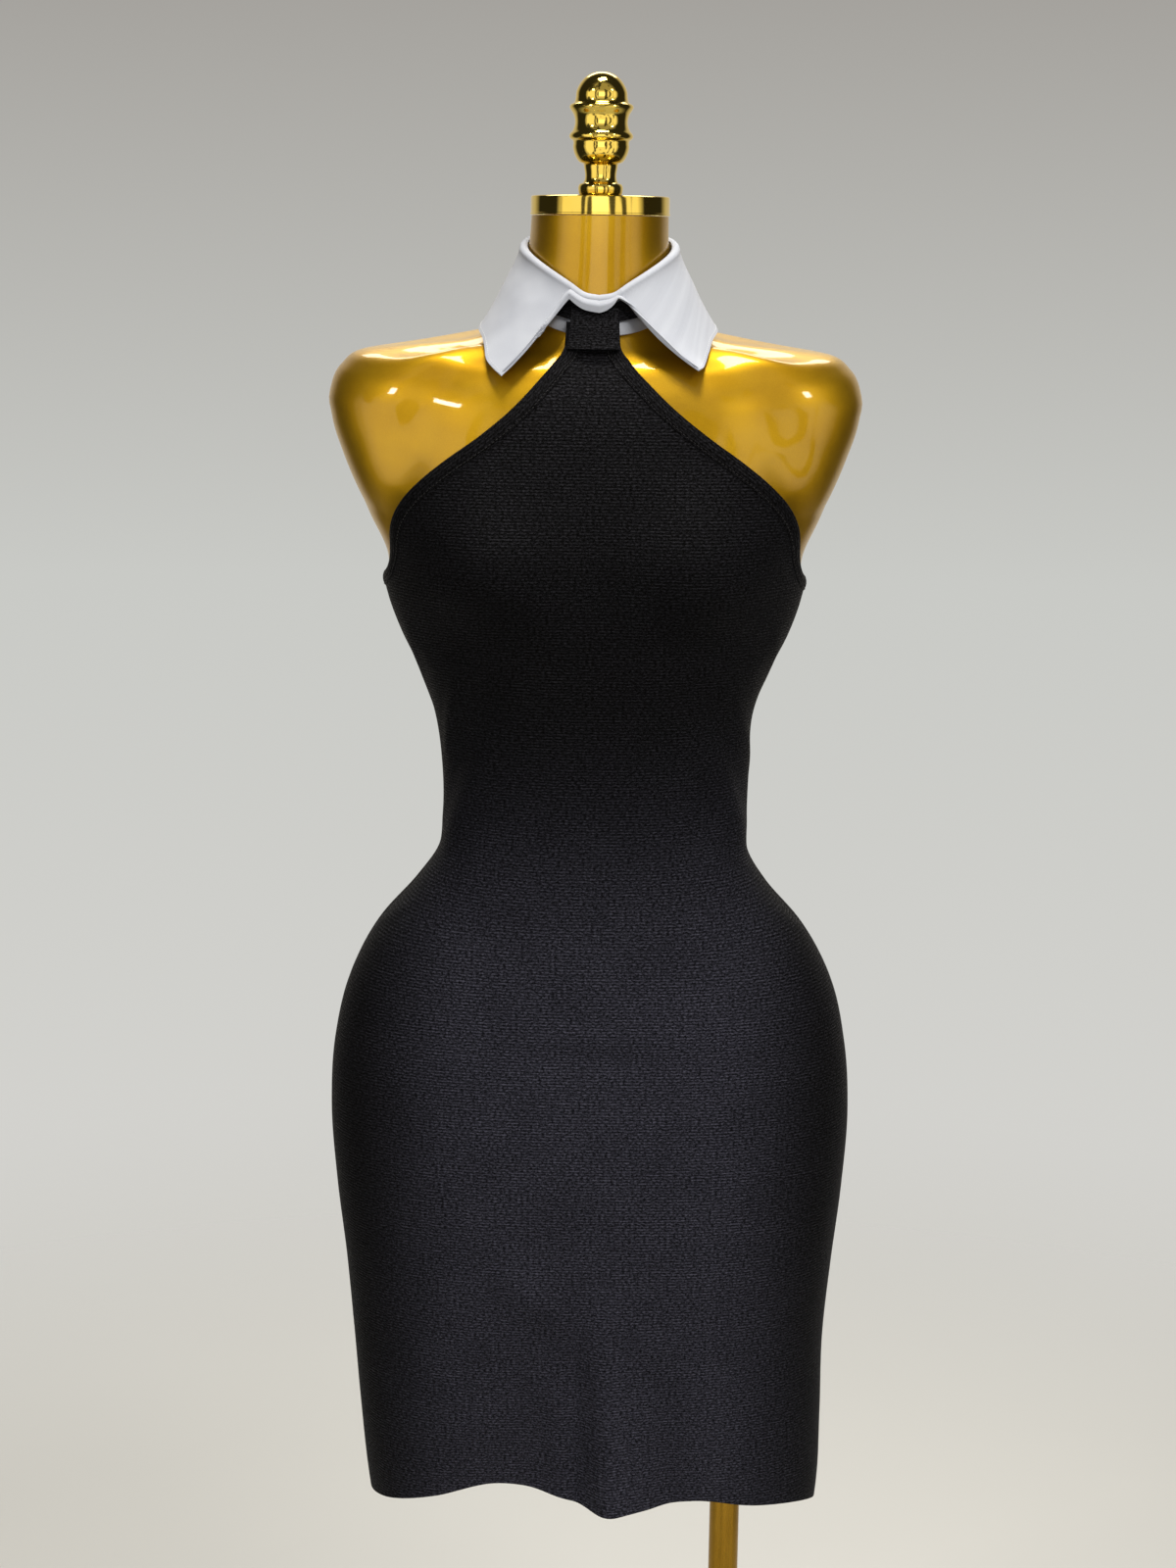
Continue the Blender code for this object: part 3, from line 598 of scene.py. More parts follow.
def distances(grid, axis):
    """Running length along one axis of a grid of points, in metres."""
    steps = np.linalg.norm(np.diff(grid, axis=axis), axis=2)
    zero = np.zeros_like(np.take(steps, [0], axis=axis))
    return np.concatenate([zero, np.cumsum(steps, axis=axis)], axis=axis) * MM


def flat_uv(grid):
    """Flat place of each point of a grid: running length along its row, then up its column."""
    return np.stack([distances(grid, 1), distances(grid, 0)], axis=-1)


# ---------------------------------------------------------------- the knit panels

PANEL_COLUMNS = 145
CENTRE_CROWDING = 0.45  # how much closer the columns stand at the centre front
ROW_STEP = 4.0          # mm between rows of the panels
ARMHOLE_ROWS = 72
BACK_TOP_ROWS = 7       # from the back's last level row up to its binding


def hem_rows(turns):
    """Levels of the rows that run from the hem's own line up to a level one."""
    shares = np.linspace(0, 1, HEM_ROWS + 1)[:-1, None]
    hem = hem_level(turns)[None, :]
    return hem + (HEM_ZONE - hem) * shares


def panel_uv(turns, levels, middle):
    """Flat place of each point: distance round from the panel's middle, and height."""
    twice_round = np.concatenate([FINE_TURNS, FINE_TURNS[1:] + 2 * math.pi])
    across = np.empty_like(turns)
    for i, row in enumerate(turns):
        table = reach_table(float(np.mean(levels[i])))
        reaches = np.concatenate([table, table[1:] + table[-1] - table[0]])
        across[i] = np.interp(wrapped(row - middle) + middle, twice_round, reaches)
    return np.stack([across * MM, levels * MM], axis=-1)


def side_turns(levels, gap):
    """Turn of the side seam at each level, moved round by a gap."""
    return np.array([float(reach_to_turn(level, seam_reach(level) + gap)) for level in levels])


def same_rows(row, count):
    """One row of places, repeated."""
    return np.repeat(row[None, :], count, axis=0)


def level_rows(levels):
    """Rows that keep one level from side to side."""
    return np.repeat(levels[:, None], PANEL_COLUMNS, axis=1)


def knit_front(material):
    """Front panel: skirt and bodice to the side seams, then narrowed between the armholes."""
    columns = np.linspace(-1, 1, PANEL_COLUMNS)
    columns *= 1 - CENTRE_CROWDING * (1 - np.abs(columns))
    body = np.arange(HEM_ZONE, FRONT_ROWS_TOP, ROW_STEP)
    sides = side_turns(body, -SEAM_GAP / 2)
    low_turns = columns * sides[0]
    low_levels = hem_rows(low_turns)
    hole_turns, hole_levels = armhole_line(BINDING_WIDTH + SEAM_GAP, 1, ARMHOLE_ROWS)
    keep = hole_levels > body[-1] + 1
    hole_turns, hole_levels = hole_turns[keep][::-1], hole_levels[keep][::-1]
    turns = np.concatenate([
        same_rows(low_turns, len(low_levels)),
        sides[:, None] * columns,
        hole_turns[:, None] * columns,
    ])
    levels = np.concatenate([low_levels, level_rows(body), level_rows(hole_levels)])
    grid = knit_points(turns, levels)
    return sheet_mesh("knit_front", grid, panel_uv(turns, levels, 0.0), KNIT, material, KNIT_ROUND)


def back_edge_level(turn):
    """Level of the back's top edge at a turn, from the side seam to the centre back."""
    past = np.clip((np.abs(wrapped(turn)) - math.pi / 2) / (math.pi / 2), 0, 1)
    return BACK_EDGE + (ARMHOLE_SEAM - BACK_EDGE) * (1 - past) ** BACK_EDGE_CURVE


def knit_back(material):
    """Back panel, from side seam to side seam round the centre back."""
    share = np.linspace(0, 1, PANEL_COLUMNS)
    body = np.arange(HEM_ZONE, BACK_ROWS_TOP, ROW_STEP)
    sides = side_turns(body, SEAM_GAP / 2)[:, None]
    around = sides + (2 * math.pi - 2 * sides) * share
    low_levels = hem_rows(around[0])
    top_turns = around[-1]
    top_edge = back_edge_level(top_turns) - BINDING_WIDTH - SEAM_GAP
    rise = np.linspace(0, 1, BACK_TOP_ROWS + 1)[1:, None]
    top_levels = body[-1] + (top_edge - body[-1]) * rise
    turns = np.concatenate([
        same_rows(around[0], len(low_levels)),
        around,
        same_rows(top_turns, len(top_levels)),
    ])
    levels = np.concatenate([low_levels, level_rows(body), top_levels])
    grid = knit_points(turns, levels)
    return sheet_mesh("knit_back", grid, panel_uv(turns, levels, math.pi), KNIT, material, KNIT_ROUND)


# ---------------------------------------------------------------- bindings

BINDING_ACROSS = np.linspace(0, 1, 7)
BINDING_STATIONS = 110
BINDING_CROWN = 0.3     # how far its middle stands proud of the knit
BINDING_THIN = 1.5      # how much lower its two sides lie than its middle


def binding_swell(share):
    """The folded edge is fullest along its middle and thin at the seam."""
    across = np.sin(math.pi * np.clip(share, 0.04, 0.96)) ** 0.6
    return BINDING_CROWN - BINDING_THIN * (1 - across)


def armhole_binding_grid(side):
    """Places of the folded binding along one armhole edge of the front."""
    lines = [armhole_line(BINDING_WIDTH * (1 - share), side, BINDING_STATIONS) for share in BINDING_ACROSS]
    if side < 0:
        lines.reverse()
    turns = np.array([line[0] for line in lines]).T[::-1]
    levels = np.array([line[1] for line in lines]).T[::-1]
    return knit_points(turns, levels, binding_swell(BINDING_ACROSS))


def armhole_binding(name, side, material):
    """Folded binding along one armhole edge of the front, from under the tab to the side seam."""
    grid = armhole_binding_grid(side)
    uv = np.stack([distances(grid, 0), distances(grid, 1)], axis=-1)
    return sheet_mesh(name, grid, uv, BOUND_EDGE, material, BOUND_ROUND)


def back_binding_grid():
    """Places of the folded binding along the top edge of the back."""
    around = np.radians(np.linspace(90.1, 269.9, 121))
    turns = same_rows(around, len(BINDING_ACROSS))
    levels = back_edge_level(around)[None, :] - BINDING_WIDTH * (1 - BINDING_ACROSS[:, None])
    return knit_points(turns, levels, binding_swell(BINDING_ACROSS)[:, None])


def back_binding(material):
    """Folded binding along the top edge of the back."""
    grid = back_binding_grid()
    return sheet_mesh("binding_back", grid, flat_uv(grid), BOUND_EDGE, material, BOUND_ROUND)


# ---------------------------------------------------------------- collar

def near_half(turns):
    """Turns (degrees) folded onto one half of the neck, 0 at the front and 180 at the back."""
    turns = np.abs(turns)
    return np.where(turns <= 180, turns, 360 - turns)


def round_neck(turns, radius, z):
    """Points at some turns (degrees) round the neck, towards +X."""
    angle = np.radians(turns)
    return np.stack(np.broadcast_arrays(radius * np.sin(angle), -radius * np.cos(angle), z), axis=-1)


def stand_points(turns, share, out):
    """Points on the collar stand: share 0 is its foot and 1 its fold."""
    row = stand_row(near_half(turns))
    radius = row["foot_radius"] + (row["fold_radius"] - row["foot_radius"]) * share
    return round_neck(turns, radius + out, row["foot_z"] + (row["fold_z"] - row["foot_z"]) * share)


def stand_collar(material):
    """White stand round the neck, slit at the centre back."""
    turns = np.linspace(-180 + BACK_SLIT, 180 - BACK_SLIT, 145)
    shares = np.linspace(0, 1, 11)[:, None]
    grid = stand_points(turns[None, :], shares, 0.0)
    return sheet_mesh("stand_collar", grid, flat_uv(grid), COLLAR_WALL, material, COLLAR_ROUND)


def band(material):
    """Black band over the stand, with one end lapped over the other at the centre back."""
    turns = np.linspace(-180 + BACK_SLIT, LAP_TURN, 149)
    row = stand_row(near_half(turns))
    height = row["fold_z"] - row["foot_z"]
    low = NECKBAND_ABOVE_FOOT / height
    high = 1 - NECKBAND_BELOW_FOLD / height
    shares = low + (high - low) * np.linspace(0, 1, 9)[:, None]
    lap = LAP_RISE * np.clip((turns - LAP_START) / LAP_RAMP, 0, 1)
    grid = stand_points(turns[None, :], shares, COLLAR_WALL + SEAM_GAP + lap[None, :])
    return sheet_mesh("band", grid, flat_uv(grid), COLLAR_WALL, material, COLLAR_ROUND)


def leaf_edge(turns, side):
    """Edge of the fall under each turn of the fold: turn, radius and height."""
    near = stand_row(turns)
    strip_end, leaf_start = STRIP_TURN[side], LEAF_TURN[side]
    drop = STRIP_DROP - STRIP_RISE[side] * (np.minimum(turns, strip_end) / strip_end) ** 2
    strip = np.array([turns, near["fold_radius"] + near["roll"] + STRIP_OUT, near["fold_z"] - drop])
    row = fall_rows[side](turns)
    leaf = np.array([row[key] for key in FALL_COLUMNS[1:]])
    end = stand_row(np.array(strip_end))
    start = np.array([strip_end, end["fold_radius"] + end["roll"] + STRIP_OUT,
                      end["fold_z"] - STRIP_DROP + STRIP_RISE[side]])
    bend = start + LEAF_BEND[side]
    tip = np.array(FALL[side][0][1:], dtype=float)
    share = np.clip((turns - strip_end) / (leaf_start - strip_end), 0, 1)
    front = (start[:, None] * (1 - share) ** 2 + 2 * bend[:, None] * share * (1 - share)
             + tip[:, None] * share**2)
    return np.where(turns <= strip_end, strip, np.where(turns < leaf_start, front, leaf))


def leaf_wave(turns, share, side):
    """Slack near the free edge, which lifts and drops the leaf a little."""
    wave = sum(rise * np.sin(np.radians(turns * often + start * side)) for often, start, rise in LEAF_WAVES)
    past_tip, past_strip = turns - LEAF_TURN[side], turns - STRIP_TURN[side]
    lift = TIP_LIFT * bump(past_tip, TIP_LIFT_WIDE) * np.clip(past_strip / TIP_LIFT_START, 0, 1) ** 2
    return share**3 * (wave * eased(past_tip / WAVE_START) + lift)


def fall_side(turns, side):
    """Lines of the fall at some turns of the fold, from the edge up and over the roll."""
    near = stand_row(turns)
    fold_radius, fold_z, roll = near["fold_radius"], near["fold_z"] - ROLL_DROP, near["roll"]
    edge_turn, edge_radius, edge_z = leaf_edge(turns, side)
    lines = []
    shares = np.concatenate([np.linspace(1, 0.8, 12), np.linspace(0.8, 0, 28)[1:-1]])   # closer at the edge
    for share in shares:
        open_roll = roll * (FOLD_PINCH + (1 - FOLD_PINCH) * eased(share / ROLL_OPEN))
        radius = fold_radius + open_roll + (edge_radius - fold_radius - roll) * share**LEAF_FLARE
        z = fold_z + (edge_z - fold_z) * share
        turn = turns + (edge_turn - turns) * share
        lines.append(round_neck(side * turn, radius + leaf_wave(turns, share, side), z))
    for angle in np.radians(np.linspace(0, ROLL_START, 12)):
        radius = fold_radius + roll * FOLD_PINCH / 2 * (1 + np.cos(angle))
        lines.append(round_neck(side * turns, radius, fold_z + ROLL_RISE * np.sin(angle)))
    return np.array(lines)


def fall_half(side):
    """Turns of the fold on one side, closest together where the point's front edge leaves it."""
    strip_end, leaf_start = STRIP_TURN[side], LEAF_TURN[side]
    return np.concatenate([
        np.linspace(0, strip_end, STRIP_STEPS),
        strip_end + (leaf_start - strip_end) * np.linspace(0, 1, 23)[1:],
        np.linspace(leaf_start, LEAF_MIDDLE, 22)[1:],
        np.linspace(LEAF_MIDDLE, 180 - BACK_SLIT, 76)[1:],
    ])


def fall_grid():
    """Places of the fall, from its left end at the centre back round to its right end."""
    return np.concatenate([fall_side(fall_half(-1)[::-1], -1), fall_side(fall_half(1)[1:], 1)], axis=1)


def fall_collar(material):
    """White fall with two long points and one narrow strip between them, slit at the centre back."""
    grid = fall_grid()
    return sheet_mesh("fall_collar", grid, flat_uv(grid), COLLAR_WALL, material, COLLAR_ROUND, even=False)


def neck_tab(material):
    """Black tab over the band at the centre front, down to the top of the front panel."""
    heights = np.linspace(TAB[0][0], TAB[-1][0], 17)
    row = tab_row(heights)
    across = np.linspace(-1, 1, 25)
    half = np.degrees(row["half_width"] / row["radius"])
    shift = math.degrees(NECK_SHIFT / TAB[2][1])      # it turns with the worn neck of the dress
    turns = half[:, None] * across + shift
    grid = round_neck(turns, row["radius"][:, None], heights[:, None])
    return sheet_mesh("tab", grid, flat_uv(grid), COLLAR_WALL, material, TAB_ROUND)


# ---------------------------------------------------------------- threads

def grid_tree(grid, wall):
    """Search tree of a cloth piece's outer face."""
    rows, columns, _ = grid.shape
    up = np.gradient(grid, axis=0)
    right = np.gradient(grid, axis=1)
    out = np.cross(right, up)
    out /= np.maximum(np.linalg.norm(out, axis=2, keepdims=True), 1e-9)
    points = (grid + out * wall).reshape(-1, 3).tolist()
    return BVHTree.FromPolygons(points, grid_faces(rows, columns))


def make_active(piece):
    """Select one piece alone, for operators that work on the active object."""
    bpy.ops.object.select_all(action="DESELECT")
    bpy.context.view_layer.objects.active = piece
    piece.select_set(True)


def even_path(points, pitch):
    """The same path with a point every pitch."""
    steps = np.linalg.norm(np.diff(points, axis=0), axis=1)
    at = np.concatenate([[0], np.cumsum(steps)])
    places = np.arange(pitch / 2, at[-1], pitch)
    return np.column_stack([np.interp(places, at, points[:, k]) for k in range(3)])


# Rings of one stitch: share of its length from its middle, and share of its radius.
STITCH_RINGS = ((-0.5, 0.35), (-0.34, 0.85), (0.0, 1.0), (0.34, 0.85), (0.5, 0.35))
STITCH_SIDES = 6
STITCH_PROUD = 0.55                 # shares of its radius: how far its middle stands up from the cloth,
STITCH_DIVE = 1.1                   # and how much lower its two ends lie
BINDING_STITCH = (3.0, 2.1, 0.3)    # pitch, length and radius of a stitch
FALL_STITCH = (2.6, 2.0, 0.2)
STITCH_START = 3                    # columns of the fall without stitches at each end of a row


def stitches(name, paths, tree, pitch, length, radius, material):
    """Rows of short stitches that lie on a cloth face and dive into it at both ends, in one mesh."""
    vertices, faces = [], []
    last = (len(STITCH_RINGS) - 1) * STITCH_SIDES
    for path in paths:
        path = even_path(path, pitch)
        along = np.gradient(path, axis=0)
        for point, run in zip(path, along):
            place, normal, _, _ = tree.find_nearest(Vector(point))
            run = Vector(run).normalized()
            normal = (normal - run * normal.dot(run)).normalized()
            side = run.cross(normal)
            start = len(vertices)
            for share, size in STITCH_RINGS:
                arch = radius * (STITCH_PROUD - STITCH_DIVE * (2 * share) ** 2)
                for k in range(STITCH_SIDES):
                    angle = 2 * math.pi * k / STITCH_SIDES
                    spot = (place + run * share * length + normal * (arch + radius * size * math.cos(angle))
                            + side * radius * size * math.sin(angle))
                    vertices.append(tuple(spot * MM))
            for ring in range(start, start + last, STITCH_SIDES):
                for k in range(STITCH_SIDES):
                    a, b = ring + k, ring + (k + 1) % STITCH_SIDES
                    faces.append((a, b, b + STITCH_SIDES, a + STITCH_SIDES))
            faces.append(tuple(start + k for k in reversed(range(STITCH_SIDES))))
            faces.append(tuple(start + last + k for k in range(STITCH_SIDES)))
    made = mesh_piece(name, vertices, faces, material)
    make_active(made)
    bpy.ops.object.mode_set(mode="EDIT")
    bpy.ops.mesh.select_all(action="SELECT")
    bpy.ops.mesh.normals_make_consistent(inside=False)
    bpy.ops.object.mode_set(mode="OBJECT")
    return made


def inside_edge(edge, beside, inset):
    """A line that runs inside a cloth edge at an even distance, on the side of the line beside it."""
    along = np.gradient(edge, axis=0)
    along /= np.linalg.norm(along, axis=1, keepdims=True)
    inward = beside - edge
    inward -= along * np.sum(inward * along, axis=1, keepdims=True)
    return edge + inset * inward / np.maximum(np.linalg.norm(inward, axis=1, keepdims=True), 1e-6)


def binding_stitches(name, grid, path, material):
    """Row of stitches along the inner side of a binding."""
    return sewn(stitches(name, [path], grid_tree(grid, BOUND_EDGE), *BINDING_STITCH, material))


def collar_stitches(material):
    """Stitches just inside the edges of both points of the fall."""
    grid = fall_grid()
    line = inside_edge(grid[0], grid[2], EDGE_STITCH)
    middle = len(fall_half(-1))
    left = line[STITCH_START:middle - STRIP_STEPS - STITCH_START]
    right = line[middle + STRIP_STEPS - 1 + STITCH_START:-STITCH_START]
    row = stitches("stitches_fall", [left, right], grid_tree(grid, COLLAR_WALL), *FALL_STITCH, material)
    return sewn(row)


# ---------------------------------------------------------------- hard pieces, modelled with operators

def begin(adder, **settings):
    """Deselect everything, add a primitive and go into edit mode on it."""
    bpy.ops.object.select_all(action="DESELECT")
    adder(**settings)
    bpy.ops.object.mode_set(mode="EDIT")
    return bpy.context.object


def done(piece, name, material, angle=32):
    """Leave edit mode, settle the piece at the origin, and finish its normals and name."""
    bpy.ops.mesh.select_all(action="SELECT")
    bpy.ops.mesh.remove_doubles(threshold=0.00001)
    bpy.ops.mesh.normals_make_consistent(inside=False)
    bpy.ops.object.mode_set(mode="OBJECT")
    bpy.ops.object.transform_apply(location=True, rotation=True, scale=True)
    bpy.ops.object.shade_smooth_by_angle(angle=math.radians(angle))
    piece.name = name
    piece.data.name = name
    piece.data.materials.append(material)
    return piece


def turned(name, profile, centre, z, material, sides=96):
    """A disc extruded and resized up its profile, from its foot to its top."""
    steps = profile[::-1]
    radius, height = steps[0]
    piece = begin(bpy.ops.mesh.primitive_circle_add, vertices=sides, radius=radius * MM, fill_type="NGON",
                  location=(centre[0], centre[1], z + height * MM))
    for new_radius, new_height in steps[1:]:
        new_radius = max(new_radius, LEAST_RADIUS)
        bpy.ops.mesh.extrude_region_move(TRANSFORM_OT_translate={"value": (0, 0, (new_height - height) * MM)})
        ratio = new_radius / radius
        bpy.ops.transform.resize(value=(ratio, ratio, 1), center_override=(centre[0], centre[1], 0))
        radius, height = new_radius, new_height
    return done(piece, name, material)


def on_axis(name, node, profile, material):
    """A turned piece in the place of its CAD node."""
    low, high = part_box(node)
    centre = ((low[0] + high[0]) / 2, (low[1] + high[1]) / 2)
    return placed(turned(name, profile, centre, low[2], material), node)


def smooth_profile(profile, points):
    """The same profile with more points, on one smooth curve through its own."""
    rows = np.array(profile, dtype=float)
    lengths = np.concatenate([[0], np.cumsum(np.linalg.norm(np.diff(rows, axis=0), axis=1))])
    read = curve_through(np.column_stack([lengths, rows]), ("length", "radius", "height"))
    fine = read(np.linspace(0, lengths[-1], points))
    return list(zip(np.maximum(fine["radius"], 0), fine["height"]))


def torso(material):
    """Torso and neck in one moulding: a disc extruded up the levels, then shaped to the figure."""
    low = FORM_FOOT + FOOT_ROUND * (1 - np.cos(np.linspace(0, math.pi / 2, 10)))
    shown, neck = 1150.0, 1336.0    # the levels stand closer above these, where the gilt shows
    levels = np.concatenate([low, np.arange(FORM_FOOT + FOOT_ROUND + 6, shown, 8.0),
                             np.arange(shown, neck, 4.0), np.arange(neck, FORM_TOP, 1.5), [FORM_TOP]])
    piece = begin(bpy.ops.mesh.primitive_circle_add, vertices=FORM_SIDES, radius=ROUGH_RADIUS * MM,
                  fill_type="NGON", location=(0, 0, levels[0] * MM))
    for last, level in zip(levels, levels[1:]):
        bpy.ops.mesh.extrude_region_move(TRANSFORM_OT_translate={"value": (0, 0, (level - last) * MM)})
    bpy.ops.object.mode_set(mode="OBJECT")
    bpy.ops.object.transform_apply(location=True, rotation=True, scale=True)
    mesh = piece.data
    places = np.empty(len(mesh.vertices) * 3)
    mesh.vertices.foreach_get("co", places)
    places = places.reshape(-1, 3) / MM
    turns = np.arctan2(places[:, 0], -places[:, 1])
    level = places[:, 2]
    hidden = 1 - eased((level - TUCK_LEVELS[0]) / (TUCK_LEVELS[1] - TUCK_LEVELS[0]))
    foot = np.clip((level - FORM_FOOT) / FOOT_ROUND, 0, 1)
    inset = FOOT_INSET * (1 - np.sqrt(1 - (1 - foot) ** 2))
    relief = crease_rise(turns, level, FORM_RELIEF) + crease_rise(-turns, level, FORM_RELIEF)
    shaped = figure_points(turns, level, relief * (1 - hidden) - FORM_TUCK * hidden - inset, FORM_BUST)
    starts, full, fades, ends = COLLARBONE_LEVELS
    top = eased((level - starts) / (full - starts)) * eased((ends - level) / (ends - fades))
    for x, y, rise, half_length, half_width in (COLLARBONE, HOLLOW):
        along = np.abs(shaped[:, 0]) - x
        across = shaped[:, 1] - y + along * COLLARBONE_SLANT
        shaped[:, 2] += rise * top * bump(along, half_length) * bump(across, half_width)
    mesh.vertices.foreach_set("co", (shaped * MM).reshape(-1))
    mesh.update()
    bpy.ops.object.mode_set(mode="EDIT")
    return done(piece, "gilt_torso", material, angle=50)


def pole_tube(material):
    """Straight round pole from the plate up into the socket."""
    low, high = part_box("pole")
    centre = [(a + b) / 2 for a, b in zip(low, high)]
    piece = begin(bpy.ops.mesh.primitive_cylinder_add, vertices=64, radius=(high[0] - low[0]) / 2,
                  depth=high[2] - low[2], end_fill_type="NGON", location=centre)
    bpy.ops.mesh.select_all(action="DESELECT")
    bpy.ops.mesh.select_mode(type="FACE")
    select_faces(piece, lambda face: abs(face.normal.z) > 0.9)
    bpy.ops.mesh.bevel(offset=POLE_CHAMFER * MM, segments=3, affect="EDGES")
    return done(piece, "pole_tube", material)


def select_faces(piece, wanted):
    """Select faces of the piece in edit mode by their place or normal."""
    bpy.ops.object.mode_set(mode="OBJECT")
    for face in piece.data.polygons:
        face.select = wanted(face)
    bpy.ops.object.mode_set(mode="EDIT")


def band_button(material):
    """Small sew-through button: a disc with a rounded rim, a dished middle and four holes."""
    low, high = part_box("neckband_button")
    turn = (180 + LAP_TURN) / 2
    out = 2 * COLLAR_WALL + 2 * SEAM_GAP + LAP_RISE + BUTTON_HEIGHT / 2
    foot, fold = stand_points(np.array(turn), 0.3, out), stand_points(np.array(turn), 0.8, out)
    slope = math.atan2(math.hypot(*(fold - foot)[:2]), (fold - foot)[2])
    centre = Vector([(a + b) / 2 for a, b in zip(low, high)])
    piece = begin(bpy.ops.mesh.primitive_cylinder_add, vertices=40, radius=BUTTON_RADIUS * MM,
                  depth=BUTTON_HEIGHT * MM, end_fill_type="NGON", location=(0, 0, 0))
    bpy.ops.mesh.select_mode(type="FACE")
    select_faces(piece, lambda face: abs(face.normal.z) > 0.9)
    bpy.ops.mesh.bevel(offset=BUTTON_EDGE * MM, segments=3, affect="EDGES")
    select_faces(piece, lambda face: face.normal.z > 0.99 and len(face.vertices) > 8)
    bpy.ops.mesh.inset(thickness=BUTTON_RIM * MM)
    bpy.ops.mesh.inset(thickness=BUTTON_EDGE * MM)
    bpy.ops.transform.translate(value=(0, 0, -BUTTON_DISH * MM))
    done(piece, "band_button", material)
    for x, y in ((-1, -1), (1, -1), (-1, 1), (1, 1)):
        cutter = begin(bpy.ops.mesh.primitive_cylinder_add, vertices=14, radius=BUTTON_HOLE * MM,
                       depth=3 * BUTTON_HEIGHT * MM, end_fill_type="NGON",
                       location=(x * BUTTON_HOLE_OUT * MM, y * BUTTON_HOLE_OUT * MM, 0))
        bpy.ops.object.mode_set(mode="OBJECT")
        cut = piece.modifiers.new("Hole", "BOOLEAN")
        cut.object = cutter
        cut.operation = "DIFFERENCE"
        make_active(piece)
        bpy.ops.object.modifier_apply(modifier=cut.name)
        bpy.data.objects.remove(cutter, do_unlink=True)
    turn_to = Matrix.Rotation(math.radians(turn), 4, "Z") @ Matrix.Rotation(math.pi / 2 - slope, 4, "X")
    piece.data.transform(Matrix.Translation(centre) @ turn_to)
    bpy.ops.object.shade_smooth_by_angle(angle=math.radians(32))
    return piece


# ---------------------------------------------------------------- materials

def linear(colour):
    """Linear red, green, blue and alpha from an sRGB hex colour."""
    parts = [int(colour[i:i + 2], 16) / 255 for i in (1, 3, 5)]
    return tuple(p / 12.92 if p <= 0.04045 else ((p + 0.055) / 1.055) ** 2.4 for p in parts) + (1.0,)


def add_node(material, kind, settings, links):
    """Add a node to a material or a world, set its own values, and link its sockets from other nodes."""
    node = material.node_tree.nodes.new(kind)
    for key, value in settings.items():
        if isinstance(key, str) and hasattr(node, key):
            setattr(node, key, value)
        else:
            node.inputs[key].default_value = value
    for key, socket in links.items():
        material.node_tree.links.new(socket, node.inputs[key])
    return node


def new_material(name, settings):
    """A material with one Principled shader, whose even values are set on its own sockets."""
    material = bpy.data.materials.new(name)
    material.use_nodes = True
    shader = material.node_tree.nodes["Principled BSDF"]
    for key, value in settings.items():
        shader.inputs[key].default_value = value
    return material, shader


def into_shader(material, shader, sockets):
    """Link what the nodes give into the shader, and return the finished material."""
    for key, socket in sockets.items():
        material.node_tree.links.new(socket, shader.inputs[key])
    return material


def cloth_place(material):
    """Place on the flat cloth, in metres."""
    return add_node(material, "ShaderNodeUVMap", {"uv_map": "cloth"}, {}).outputs["UV"]


def solid_place(material):
    """Place in the object, in metres."""
    return add_node(material, "ShaderNodeTexCoord", {}, {}).outputs["Object"]


def stretched_place(material, place, scale):
    """The same place drawn out, so that what is made from it is longer where the scale is small."""
    return add_node(material, "ShaderNodeMapping", {"Scale": scale}, {"Vector": place}).outputs[0]


def noise(material, place, spot_mm, detail, roughness=0.5):
    """Noise with spots some millimetres across."""
    return add_node(material, "ShaderNodeTexNoise",
                    {"Scale": 1 / (spot_mm * MM), "Detail": detail, "Roughness": roughness},
                    {"Vector": place}).outputs["Fac"]


def bands(material, place, pitch_mm, direction, **settings):
    """Soft bands some millimetres apart."""
    scale = 2 * math.pi / (20 * pitch_mm * MM)
    return add_node(material, "ShaderNodeTexWave", {"bands_direction": direction, "Scale": scale, **settings},
                    {"Vector": place}).outputs["Fac"]


def remapped(material, value, start, end, low=0.0, high=1.0, steps="LINEAR"):
    """A value taken from one range to another, and held at both ends."""
    return add_node(material, "ShaderNodeMapRange",
                    {"interpolation_type": steps, "From Min": start, "From Max": end,
                     "To Min": low, "To Max": high}, {"Value": value}).outputs[0]


def mixed(material, share, low, high):
    """Colour between two others, each a hex colour or a node's output."""
    settings, links = {"data_type": "RGBA"}, {0: share}
    for socket, colour in ((6, low), (7, high)):
        if isinstance(colour, str):
            settings[socket] = linear(colour)
        else:
            links[socket] = colour
    return add_node(material, "ShaderNodeMix", settings, links).outputs[2]


def maths(material, operation, first, second):
    """One number made from two others."""
    return add_node(material, "ShaderNodeMath", {"operation": operation}, {0: first, 1: second}).outputs[0]


def weighted(material, value, weight, rest):
    """The value times its weight, plus the rest."""
    return add_node(material, "ShaderNodeMath", {"operation": "MULTIPLY_ADD", 1: weight},
                    {0: value, 2: rest}).outputs[0]


def relief(material, height, strength, depth_mm):
    """Bumps of some depth."""
    return add_node(material, "ShaderNodeBump", {"Strength": strength, "Distance": depth_mm * MM},
                    {"Height": height}).outputs[0]


NO_PULL_OR_FRONT_LIGHT = (-0.2, -0.1)       # heights that no cloth has
FRONT_LIGHT_ASIDE = (0.185, 0.085)  # metres from a panel's middle where the pulled, painted-lit look ends in painted shade, and where it is full
# Tones of the grooves and rib tops where the cloth is pulled: paler by the pull, and partly painted front
# light and painted bluish sheen.
PULLED_LIT_GROOVE = "#14151a"
PULLED_LIT_CREST = "#646475"


